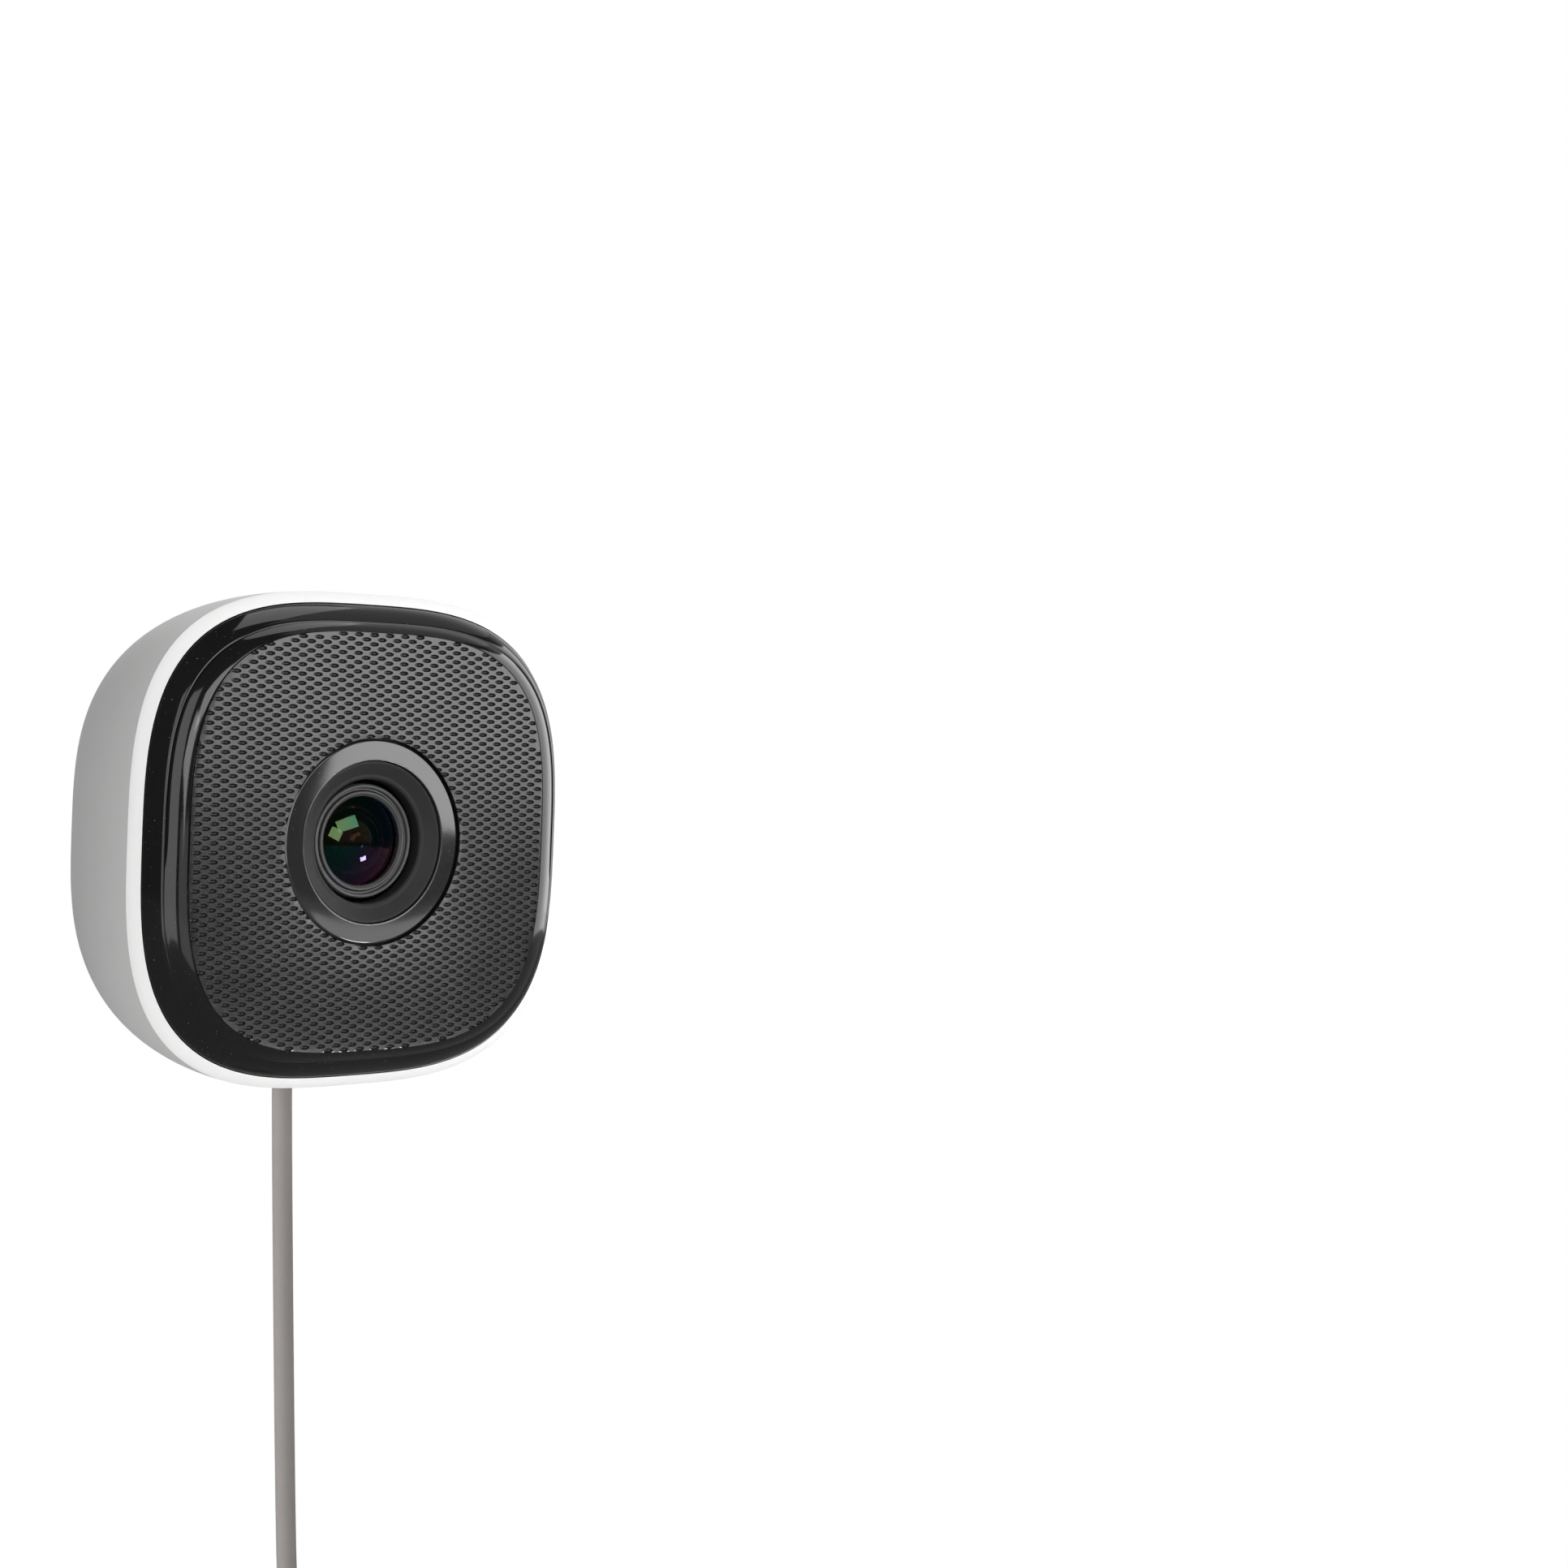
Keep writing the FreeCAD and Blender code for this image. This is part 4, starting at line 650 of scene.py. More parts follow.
class Palette:
    """Makes each finish once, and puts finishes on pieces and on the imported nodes."""

    def __init__(self) -> None:
        """Makes all the materials."""
        self.materials = {finish.slot: finish.make() for finish in FINISHES}

    def fit(self, piece: bpy.types.Object, slot: str, *stands_for: str) -> bpy.types.Object:
        """Dresses a new piece, makes it ride on the body and hides the nodes it stands for."""
        piece.data.materials.clear()
        piece.data.materials.append(self.materials[slot])
        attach(piece, "root")
        if stands_for:
            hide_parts(*stands_for)
        LOG.info("%s in %s, for %s", piece.name, slot, ", ".join(stands_for) or "itself")
        return piece

    def dress_nodes(self) -> None:
        """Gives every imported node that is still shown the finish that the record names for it."""
        slots = {part["node"]: part["material_slot"] for part in frame["record"]["subparts"]}
        slots.update(middle_lens="inner_glass", rear_lens="inner_glass")
        for name, node in frame["nodes"].items():
            node.data.materials.clear()
            node.data.materials.append(self.materials[slots[name]])
            if not node.hide_render:
                LOG.info("%s keeps its solid, in %s", name, slots[name])


# Sub-assemblies


@dataclass
class Housing:
    """The white cushion-shaped shell with its rounded rim, and the stand's brass thread."""

    outline: tuple[float, float] = (37.3, 36.1)
    power: float = 3.12
    rim_reach: float = 1.75
    rim_depth: float = 1.3
    rim_roundness: float = 1.14
    depth: float = 42.0
    sweep: float = 51.8
    wall: float = 2.2
    back_wall: float = 2.2
    back_round: float = 5.0
    round_share: float = 0.62
    lip_share: float = 0.93
    mouth_gap: float = 0.15
    seat_depth: float = 3.4
    socket_radius: float = 4.6
    outlet_forward: float = 22.6
    outlet_radius: float = 3.55
    outlet_top: float = 30.0
    outlet_bottom: float = 39.0
    thread_bore: float = 2.6
    thread_pitch: float = 1.27
    thread_depth: float = 0.42
    thread_length: float = 7.0
    insert_radius: float = 4.5
    insert_flange: tuple[float, float] = (5.6, 7.8)
    side_rows: int = 34

    def section(self, forward: np.ndarray, wall: float = 0.0) -> np.ndarray:
        """Rows of the side wall, whose inset is a (1 - sqrt(1 - (gap to the rim / sweep)^2))."""
        half_width, half_height = (half + self.rim_reach for half in self.outline)
        gap = (self.depth - self.rim_depth - forward) / self.sweep
        inset = half_width * (1 - np.sqrt(1 - gap ** 2)) + wall
        power = np.full_like(forward, self.power)
        return np.stack([half_width - inset, half_height - inset, power, forward], axis=-1)

    def back_edge(self, steps: int = 9) -> np.ndarray:
        """Rows of the rounded edge between the flat back and the side, as a quadratic curve."""
        t = np.linspace(0, 1, steps)[:, None]
        corner = self.section(np.array([0.0]))
        reach = self.back_round * self.round_share
        flat = corner - np.array([reach, reach, 0.0, 0.0])
        side = self.section(np.array([reach]))
        return (1 - t) ** 2 * flat + 2 * t * (1 - t) * corner + t ** 2 * side

    def lip(self, steps: int = 9) -> np.ndarray:
        """Rows of the rim's rounded lip, which rises as (1 - (1 - inward)^r)^(1 / r)."""
        inward = np.linspace(0, 1, steps)
        rise = (1 - (1 - inward) ** self.rim_roundness) ** (1 / self.rim_roundness)
        half_width, half_height = (half + self.rim_reach for half in self.outline)
        return np.stack([
            half_width - self.rim_reach * inward * self.lip_share,
            half_height - self.rim_reach * inward * self.lip_share,
            np.full(steps, self.power),
            self.depth - self.rim_depth + self.rim_depth * rise,
        ], axis=-1)

    def make_shell(self) -> bpy.types.Object:
        """The shell: socket's edge, flat back, side, lip, mouth and inner wall as one closed form."""
        seat = self.depth - self.seat_depth
        widest = self.depth - self.rim_depth
        first = self.back_round * self.round_share
        side = self.section(np.linspace(first, widest, self.side_rows)[1:-1])
        mouth = [[half + self.mouth_gap for half in self.outline] + [self.power, at]
                 for at in (self.depth - 0.12, seat)]
        inside = self.section(np.linspace(self.back_wall, seat, 12)[::-1], self.wall)
        socket = circles([(self.socket_radius, self.back_wall), (self.socket_radius, 0.12),
                          (self.socket_radius + 0.12, 0.0)])
        rows = np.vstack([socket, self.back_edge(), side, self.lip(), np.array(mouth), inside])
        shell = solid("housing_shell", loops(rows, turns()))
        hole = solid("outlet_hole", loops(circles([
            (0, self.outlet_top), (self.outlet_radius, self.outlet_top),
            (self.outlet_radius, self.outlet_bottom), (0, self.outlet_bottom),
        ]), turns(AROUND_SMALL), Axis.DROP, (0, -self.outlet_forward, 0)), closed=False)
        carved(shell, [hole])
        return shell

    def make_insert(self) -> bpy.types.Object:
        """The brass insert, whose bore's wall is r + d |2 frac((f - p a / 2 pi) / p) - 1|."""
        angles = turns(AROUND_SMALL)
        flange_radius, flange_front = self.insert_flange
        bore = np.linspace(0.5, self.thread_length - 0.3, 90)
        rows = circles(
            [(self.thread_bore + self.thread_depth + 0.25, 0.0)]
            + [(self.thread_bore, forward) for forward in bore]
            + [(self.thread_bore, self.thread_length), (0, self.thread_length), (0, flange_front),
               (flange_radius, flange_front), (flange_radius, self.thread_length),
               (self.insert_radius, self.thread_length), (self.insert_radius, 0.1),
               (self.insert_radius - 0.1, 0.0)]
        )
        points = loops(rows, angles)
        phase = (bore[:, None] - self.thread_pitch * angles[None] / (2 * np.pi)) / self.thread_pitch
        ridge = np.abs(2 * (phase % 1.0) - 1)
        fade = np.clip((self.thread_length - 0.6 - bore) / 0.8, 0, 1)[:, None]
        radius = (self.thread_bore + self.thread_depth * ridge * fade) * MM
        points[1:len(bore) + 1, :, 0] = radius * np.cos(angles)
        points[1:len(bore) + 1, :, 2] = radius * np.sin(angles)
        return solid("stand_thread", points, sharp=25.0)

    def build(self, palette: Palette) -> None:
        """Makes and dresses the shell and the thread."""
        palette.fit(self.make_shell(), "white_plastic", "rear_shell")
        palette.fit(self.make_insert(), "brass", "mount_insert")


@dataclass
class DotLattice:
    """The staggered lattice of shallow dots, each a ring-shaped dip round a small raised middle."""

    column: float = 1.40
    row: float = 0.70
    half_width: float = 0.86
    half_height: float = 0.35
    depth: float = 0.28
    steps: tuple[tuple[float, float], ...] = (
        (1.0, 0.0), (0.90, 0.32), (0.66, 1.0), (0.44, 0.80), (0.22, 0.34))
    middle: float = 0.20
    corners: int = 10

    def centres(self, reach: float) -> np.ndarray:
        """Lattice points: every second row is shifted by one column."""
        across = np.arange(-math.ceil(reach / self.column), math.ceil(reach / self.column) + 1)
        rise = np.arange(-math.ceil(reach / self.row), math.ceil(reach / self.row) + 1)
        a, r = np.meshgrid(across, rise)
        keep = (a + r) % 2 == 0
        return np.stack([a[keep] * self.column, r[keep] * self.row], axis=-1)

    def rings(self, centres: np.ndarray) -> tuple[np.ndarray, np.ndarray]:
        """Each dot's ellipses from its rim inwards and its middle, with their depths."""
        angles = np.arange(self.corners) * 2 * np.pi / self.corners
        unit = np.stack([np.cos(angles) * self.half_width, np.sin(angles) * self.half_height], axis=-1)
        share, sunk = np.array(self.steps).T
        shape = np.vstack([(share[:, None, None] * unit[None]).reshape(-1, 2), np.zeros((1, 2))])
        depth = np.append(np.repeat(sunk, self.corners), self.middle) * self.depth
        return centres[:, None] + shape[None], np.tile(depth, (len(centres), 1))

    def lines(self) -> np.ndarray:
        """The edges of one dot's ellipses, as pairs of its points."""
        return np.vstack([chain(self.corners * ring, self.corners) for ring in range(len(self.steps))])


@dataclass
class FrontFace:
    """The gloss bezel with its creased shoulder, and the dotted plate let into it."""

    outline: tuple[float, float] = (37.3, 36.1)
    outline_power: float = 3.12
    crease: tuple[float, float] = (35.2, 33.4)
    plate: tuple[float, float] = (31.9, 31.85)
    plate_power: float = 3.2
    plate_gap: float = 0.07
    shell_depth: float = 42.0
    seat: float = 38.6
    crease_forward: float = 44.6
    band_forward: float = 45.9
    plate_back: float = 44.4
    plate_front: float = 46.0
    panel_back: float = 43.0
    shoulder_roundness: float = 1.35
    skirt_wall: float = 1.8
    groove: float = 0.20
    band_crown: float = 0.16
    ring_hole: float = 12.8
    plate_hole: float = 15.95
    dot_margin: float = 0.15
    ring_margin: float = -0.25
    edge_round: float = 0.12
    lattice: DotLattice = field(default_factory=DotLattice)

    def shoulder(self, steps: int = 16) -> np.ndarray:
        """Rows from the black outline to the crease, rising as (1 - (1 - t)^r)^(1 / r)."""
        t = np.linspace(0, 1, steps)
        rise = (1 - (1 - t) ** self.shoulder_roundness) ** (1 / self.shoulder_roundness)
        return np.stack([
            self.outline[0] + (self.crease[0] - self.outline[0]) * t,
            self.outline[1] + (self.crease[1] - self.outline[1]) * t,
            self.outline_power + (self.plate_power - self.outline_power) * t,
            self.shell_depth + (self.crease_forward - self.shell_depth) * rise,
        ], axis=-1)

    def level(self, points: np.ndarray, inset: float = 0.0) -> np.ndarray:
        """|x / a|^n + |z / b|^n over points of the front, which is under 1 inside the plate."""
        halves = np.array(self.plate) - inset
        return (np.abs(points / halves) ** self.plate_power).sum(axis=-1)

    def profile(self, groove: float, gap: float) -> np.ndarray:
        """The bezel's rows: skirt, shoulder, fine groove, crowned band, pocket, panel and back."""
        shoulder = self.shoulder()
        last = shoulder[-1]
        step = np.array([groove, groove, 0.0, 0.0])
        dip = np.array([0.0, 0.0, 0.0, groove])
        pocket = [half + gap for half in self.plate]
        inner = [half - self.skirt_wall for half in self.outline]
        grooved = np.vstack([last - 0.15 * step, last - 0.3 * step - dip, last - 0.8 * step - dip,
                             last - 1.0 * step])
        band = np.vstack([
            last + (curve_row(pocket, self.plate_power, self.band_forward) - last) * t
            for t in np.linspace(0.12, 1, 13)
        ])
        band[:, 3] += self.band_crown * np.sin(np.linspace(0, np.pi, len(band)))
        return np.vstack([
            curve_row(self.outline, self.outline_power, self.seat),
            shoulder, grooved, band[:-1],
            softened(np.vstack([band[-2:], curve_row(pocket, self.plate_power, self.plate_back)]),
                     self.edge_round, 5, closed=False)[1:],
            circles([(self.ring_hole, self.plate_back), (self.ring_hole, self.panel_back)]),
            curve_row(inner, self.outline_power, self.panel_back),
            curve_row(inner, self.outline_power, self.seat),
        ])

    def make_bezel(self) -> bpy.types.Object:
        """The bezel as one closed form, whose groove and gap are fine lines that fade at the bottom.

        A point is (1 - w) P + w Q for the faint profile P and the full profile Q. The weight w goes
        smoothly from 0 to 1 as the sine of the polar angle goes from -0.5 to 0.1.
        """
        angles = turns(288)
        full = loops(self.profile(self.groove, self.plate_gap), angles)
        faint = loops(self.profile(self.groove * 0.05, self.plate_gap * 0.3), angles)
        weight = smooth_step(np.sin(angles), -0.5, 0.1)[None, :, None]
        return solid("gloss_bezel", faint + (full - faint) * weight, sharp=28.0)

    def edges(self) -> tuple[np.ndarray, np.ndarray]:
        """The plate's outline and its hole, as points of the front in millimetres."""
        angles = turns(240)
        rows = np.array([[*self.plate, self.plate_power, 0.0],
                         [self.plate_hole, self.plate_hole, ROUND, 0.0]])
        both = loops(rows, angles)[:, :, [0, 2]] / MM
        return both[0], both[1]

    def trimmed(self, points: np.ndarray, lines: np.ndarray) -> tuple[np.ndarray, np.ndarray, list]:
        """A triangulation in the plane, cut to the plate's outline and hole.

        Args:
            points: The points to join, in millimetres.
            lines: Pairs of points that an edge has to join.

        Returns:
            The points, the triangles, and for each point the given points it stands for.
        """
        found = delaunay_2d_cdt([Vector(p) for p in points.tolist()], lines.tolist(), [], 0, 1e-5, True)
        spots = np.array([tuple(v) for v in found[0]])
        faces = np.array([f for f in found[2]])
        middle = spots[faces].mean(axis=1)
        keep = (self.level(middle) < 1) & (np.hypot(*middle.T) > self.plate_hole)
        return spots, faces[keep], [list(ids) for ids in found[3]]

    def make_plate(self) -> bpy.types.Object:
        """The plate: the front's dots are joined in the plane, and then each corner sinks by its depth."""
        outline, hole = self.edges()
        centres = self.lattice.centres(max(self.plate))
        inside = self.level(centres, self.dot_margin) < 1
        centres = centres[inside & (np.hypot(*centres.T) > self.plate_hole + self.ring_margin)]
        dots, sunk = self.lattice.rings(centres)
        edges = np.vstack([outline, hole])
        edge_lines = np.vstack([chain(0, len(outline)), chain(len(outline), len(hole))])
        first = len(edges) + np.arange(len(centres)) * dots.shape[1]
        dot_lines = (first[:, None, None] + self.lattice.lines()[None]).reshape(-1, 2)
        spots, faces, given = self.trimmed(np.vstack([edges, dots.reshape(-1, 2)]),
                                           np.vstack([edge_lines, dot_lines]))
        depth = np.concatenate([np.zeros(len(edges)), sunk.ravel()])
        lowered = np.array([depth[ids].max() if ids else 0.0 for ids in given])
        rim = self.border(faces, len(spots))
        front = np.stack([spots[:, 0], lowered - self.plate_front, spots[:, 1]], axis=-1)
        front[rim.ravel(), 1] += self.edge_round * 0.1
        back_spots, back_faces = self.trimmed(spots[rim[:, 0]], self.relinked(rim))[:2]
        level = np.full(len(back_spots), -self.plate_back)
        back = np.stack([back_spots[:, 0], level, back_spots[:, 1]], axis=-1)
        under = front[rim.ravel()]
        under[:, 1] = -self.plate_back
        count = len(front) + len(back)
        walls = np.hstack([rim, count + np.arange(2 * len(rim)).reshape(-1, 2)[:, ::-1]])
        used = faces.tolist() + (back_faces[:, ::-1] + len(front)).tolist() + walls.tolist()
        return self.joined(np.vstack([front, back, under]) * MM, used)

    def border(self, faces: np.ndarray, count: int) -> np.ndarray:
        """The edges that only one triangle has, as pairs of points in the triangle's order."""
        sides = np.vstack([faces[:, [0, 1]], faces[:, [1, 2]], faces[:, [2, 0]]])
        key = np.sort(sides, axis=1) @ np.array([count, 1])
        _, where, times = np.unique(key, return_index=True, return_counts=True)
        return sides[where[times == 1]]

    def relinked(self, rim: np.ndarray) -> np.ndarray:
        """The border's edges, numbered by the places of their first points."""
        order = np.argsort(rim[:, 0])
        return np.stack([np.arange(len(rim)), order[np.searchsorted(rim[order, 0], rim[:, 1])]], axis=-1)

    def joined(self, points: np.ndarray, faces: list) -> bpy.types.Object:
        """The plate's object, without the points that no face uses."""
        mesh = bpy.data.meshes.new("dotted_plate")
        mesh.from_pydata(points.tolist(), [], faces)
        with reworked(mesh) as work:
            loose = [vertex for vertex in work.verts if not vertex.link_faces]
            bmesh.ops.delete(work, geom=loose, context="VERTS")
        tidy_mesh(mesh, 40.0)
        return placed("dotted_plate", mesh)

    def build(self, palette: Palette) -> None:
        """Makes and dresses the bezel and the plate."""
        palette.fit(self.make_bezel(), "black_gloss", "front_bezel")
        palette.fit(self.make_plate(), "black_dotted", "front_plate")


@dataclass
class LensUnit:
    """The polished ring, matt hood, lens barrel with its turned front, and the front glass."""

    ring: tuple[float, float] = (12.5, 15.8)
    ring_back: float = 44.4
    ring_front: tuple[float, float] = (45.78, 45.57)
    ring_crown: float = 0.012
    hood_hole: float = 9.5
    hood_radius: float = 12.42
    hood_front: tuple[float, float] = (44.2, 45.42)
    hood_flange: tuple[float, float, float] = (15.0, 41.8, 43.0)
    barrel_radius: float = 8.80
    barrel_front: float = 43.0
    head_back: float = 36.0
    neck_radius: float = 6.0
    barrel_back: float = 27.5
    lip_wall: float = 0.7
    ledge: tuple[float, float] = (7.8, 42.4)
    glass_radius: float = 6.8
    glass_edge: float = 42.4
    glass_dome: float = 15.0
    glass_seat: float = 39.0
    glass_shoulder: float = 41.4
    seat_radius: float = 7.7
    glass_hollow: float = 5.4
    glass_middle: float = 1.8
    retainer: tuple[float, float] = (6.885, 7.7)
    retainer_front: float = 42.8

    def make_ring(self) -> bpy.types.Object:
        """The trim ring, with a slightly crowned face and rolled edges."""
        inner, outer = self.ring
        low, high = self.ring_front
        face = [
            (outer + (inner - outer) * t,
             high + (low - high) * t + self.ring_crown * math.sin(math.pi * t))
            for t in np.linspace(0, 1, 9).tolist()
        ]
        edge = [(outer, high - 0.42), (outer - 0.10, high - 0.16), (outer - 0.34, high)]
        rows = circles([(inner, self.ring_back), (outer, self.ring_back), *edge, *face[1:]])
        return solid("trim_ring", loops(softened(rows, 0.10, 4), turns()), sharp=40.0)

    def make_hood(self) -> bpy.types.Object:
        """The hood: flange behind the panel, dished face and a rolled edge at its hole."""
        low, high = self.hood_front
        flange, back, front = self.hood_flange
        rows = circles([
            (self.hood_hole, back), (flange, back), (flange, front), (self.hood_radius, front),
            (self.hood_radius, high), (self.hood_radius - 0.35, high - 0.02),
            (self.hood_hole + 0.75, low + 0.05), (self.hood_hole + 0.45, low + 0.10),
            (self.hood_hole + 0.05, low - 0.15), (self.hood_hole, low - 0.7),
        ])
        return solid("lens_hood_cone", loops(softened(rows, 0.16, 4), turns()))

    def make_barrel(self) -> bpy.types.Object:
        """The barrel: neck, head and a lip with a turned groove, bored for the glass."""
        ledge_radius, ledge_front = self.ledge
        lip = self.barrel_radius - self.lip_wall
        rows = circles([
            (5.0, self.barrel_back), (self.neck_radius, self.barrel_back), (self.neck_radius, self.head_back),
            (self.barrel_radius, self.head_back), (self.barrel_radius, self.barrel_front - 0.85),
            (self.barrel_radius - 0.16, self.barrel_front - 0.75),
            (self.barrel_radius - 0.16, self.barrel_front - 0.55),
            (self.barrel_radius, self.barrel_front - 0.45),
            (self.barrel_radius - 0.03, self.barrel_front - 0.22),
            (self.barrel_radius - 0.16, self.barrel_front - 0.05),
            (self.barrel_radius - 0.34, self.barrel_front),
            (lip + 0.16, self.barrel_front - 0.06),
            (lip + 0.03, self.barrel_front - 0.2), (lip, ledge_front), (ledge_radius, ledge_front),
            (ledge_radius, self.glass_seat), (5.0, self.glass_seat),
        ])
        return solid("barrel_turned", loops(softened(rows, 0.09, 4), turns()))

    def make_retainer(self) -> bpy.types.Object:
        """The ring that holds the glass: a sloping face with two turned steps."""
        inner, outer = self.retainer
        front = self.retainer_front
        rows = circles([
            (inner, self.glass_shoulder), (outer, self.glass_shoulder), (outer, front - 0.26),
            (outer - 0.08, front - 0.08), (outer - 0.26, front), (outer - 0.44, front - 0.06),
            (outer - 0.60, front - 0.22), (inner + 0.10, self.glass_edge + 0.10),
            (inner, self.glass_edge),
        ])
        return solid("retaining_ring_turned", loops(softened(rows, 0.08, 3), turns()))

    def cap(self, radius: float, edge: float, sphere: float, inward: np.ndarray) -> list[tuple[float, float]]:
        """Points of a spherical cap: forward = edge + sqrt(R^2 - r^2) - sqrt(R^2 - edge radius^2)."""
        reach = radius * inward
        rise = np.sqrt(sphere ** 2 - reach ** 2) - math.sqrt(sphere ** 2 - radius ** 2)
        return list(zip(reach.tolist(), (edge + rise).tolist()))

    def make_glass(self) -> bpy.types.Object:
        """The front glass: a dome, a stepped edge and a hollow behind, turned about the lens axis."""
        inward = np.cos(np.linspace(0, np.pi / 2, 26))
        dome = self.cap(self.glass_radius, self.glass_edge, self.glass_dome, inward)
        apex = dome[-1][1] - self.glass_middle - self.glass_seat
        sphere = (self.glass_hollow ** 2 + apex ** 2) / (2 * apex)
        hollow = self.cap(self.glass_hollow, self.glass_seat, sphere, inward)
        rows = circles([
            *hollow[::-1], (self.seat_radius, self.glass_seat), (self.seat_radius, self.glass_shoulder),
            (self.glass_radius, self.glass_shoulder), *dome,
        ])
        return solid("front_glass", loops(rows, turns()), closed=False, sharp=50.0)

    def build(self, palette: Palette) -> None:
        """Makes and dresses the ring, hood, barrel, retaining ring and glass."""
        palette.fit(self.make_ring(), "ring_black", "lens_trim_ring")
        palette.fit(self.make_hood(), "hood_black", "lens_hood")
        palette.fit(self.make_barrel(), "barrel_black", "lens_barrel")
        palette.fit(self.make_retainer(), "barrel_black", "front_retaining_ring")
        palette.fit(self.make_glass(), "lens_glass", "front_lens")


@dataclass
class Lead:
    """The fixed lead: strain relief, the hanging run, its put-away coil with a tie, and the plug."""

    diameter: float = 3.2
    forward: float = 22.6
    length: float = 1.70
    outlet: float = 38.2
    coil_centre: tuple[float, float] = (16.0, 154.0)
    layers: tuple[float, ...] = (22.4, 19.2, 16.0, 12.8)
    rows_back: tuple[float, ...] = (-4.8, -1.6, 1.6, 4.8)
    enter: float = 135.0
    leave: float = 205.0
    change_layer: float = 50.0
    change_row: float = 70.0
    plug_line: float = 4.8
    relief_top: float = 183.45
    relief_length: float = 9.0
    relief_radius: float = 2.9
    body: tuple[float, float, float] = (15.6, 8.0, 22.0)
    shell: tuple[float, float, float] = (12.0, 4.5, 12.0)
    shell_wall: float = 0.3
    tie_place: float = 33.6
    tie_half: tuple[float, float] = (8.0, 8.0)
    tie_width: float = 6.0
    tie_thickness: float = 1.0
    points_per_turn: int = 24

    def coil(self) -> np.ndarray:
        """The coil's line: it winds layer by layer, and a row back once a row is full.

        Within a row each turn keeps its radius, and moves to the next layer over a short stretch
        just before the row's starting angle. The last turn of a row moves back by one row after
        that stretch, so that no two turns come nearer than a diameter.
        """
        per_row = 4 * 360 - self.change_layer - self.change_row
        total = 14 * 360 + (self.leave - self.enter)
        wound = np.arange(0, total + 0.01, 360 / self.points_per_turn)
        row = np.minimum((wound // per_row).astype(int), 3)
        inside = wound - row * per_row
        ends = [360 * turn - self.change_row for turn in (1, 2, 3)]
        shift = sum(smooth_step(inside, end - self.change_layer, end) for end in ends)
        layer = np.where(row % 2 == 0, shift, 3 - shift)
        radius = self.layers[0] + (self.layers[3] - self.layers[0]) * layer / 3
        back = smooth_step(inside, per_row - self.change_row, per_row) * (row < 3)
        depth = self.rows_back[0] + (self.rows_back[3] - self.rows_back[0]) * (row + back) / 3
        angle = np.radians(self.enter + wound)
        centre_x, centre_drop = self.coil_centre
        return np.stack([
            centre_x + radius * np.cos(angle),
            -self.forward + depth,
            -centre_drop + radius * np.sin(angle),
        ], axis=-1)

    def route(self) -> np.ndarray:
        """Control points of the lead's line, in millimetres, from the outlet to the plug."""
        y = -self.forward
        hanging = [
            (0.0, y, -38.2), (0.0, y, -42.2), (3.9, y, -116.0),
            (4.3, y - 0.8, -124.0), (3.6, y - 4.0, -131.0),
        ]
        tail = [(-3.0, y + 4.4, -168.5), (1.4, y + 2.4, -174.6), (4.4, y + 0.3, -179.4), (4.8, y, -183.45)]
        return np.vstack([hanging, self.coil(), tail])

    def make_cord(self) -> bpy.types.Object:
        """The lead as one NURBS line with a round section."""
        curve = bpy.data.curves.new("power_lead", "CURVE")
        curve.dimensions = "3D"
        curve.bevel_depth = self.diameter / 2 * MM
        curve.bevel_resolution = 5
        curve.use_fill_caps = True
        line = curve.splines.new("NURBS")
        points = self.route() * MM
        line.points.add(len(points) - 1)
        line.points.foreach_set("co", np.hstack([points, np.ones((len(points), 1))]).ravel())
        line.order_u = 3
        line.use_endpoint_u = True
        line.resolution_u = 4
        return placed("power_lead", curve)

    def make_relief(self) -> bpy.types.Object:
        """The moulded strain relief, with a flange inside and ribs where the lead leaves."""
        rows = circles([
            (0, 29.7), (5.0, 29.7), (5.0, 31.2), (3.4, 31.2), (3.4, 35.75), (3.25, 36.0),
            (3.05, 36.5), (2.72, 36.62), (2.72, 36.84), (2.92, 36.92), (2.74, 37.34), (2.42, 37.42),
            (2.42, 37.64), (2.55, 37.72), (2.3, 38.2), (0, 38.2),
        ])
        points = loops(softened(rows, 0.07, 3, closed=False), turns(AROUND_SMALL), Axis.DROP,
                       (0, -self.forward, 0))
        return solid("strain_relief", points, closed=False)

    def make_tie(self) -> bpy.types.Object:
        """The strap: a flat band round the bundle, whose outer end laps over in a low step."""
        angles = turns(128)
        half_x, half_y = self.tie_half
        lap = 0.35 * (1 / (1 + np.exp(-(np.sin(angles - 0.6) - 0.55) * 30)))
        thick = self.tie_thickness
        top = self.tie_width / 2
        outline = [(0.0, -top + 0.15), (0.15, -top), (thick - 0.25, -top), (thick - 0.1, -top + 0.15),
                   (thick - 0.1, top - 0.15), (thick - 0.25, top), (0.15, top), (0.0, top - 0.15)]
        out, height = np.array(outline).T
        reach = (np.abs(np.cos(angles)) ** 4 + np.abs(np.sin(angles)) ** 4) ** (-1 / 4)
        share = (out / thick)[:, None]
        inner = half_x - thick
        size = (inner + out[:, None] + lap[None] * share * 0.4) * reach[None]
        points = np.stack([
            self.tie_place + size * np.cos(angles)[None],
            -self.forward + size * np.sin(angles)[None] * (half_y / half_x),
            np.broadcast_to(-self.coil_centre[1] + height[:, None], size.shape),
        ], axis=-1) * MM
        return solid("coil_strap", points, sharp=40.0)

    def notch(self, halves: tuple[float, float], power: float, at: float,
              cut: tuple[float, float], length: float) -> list[tuple[float, float, float, float]]:
        """Four rows that go down into a groove across the plug's body and come out of it."""
        wide, deep = halves
        low = (wide - cut[0], deep - cut[1], power)
        return [(wide, deep, power, at), (*low, at + 0.35), (*low, at + 0.75),
                (wide, deep, power, at + length)]

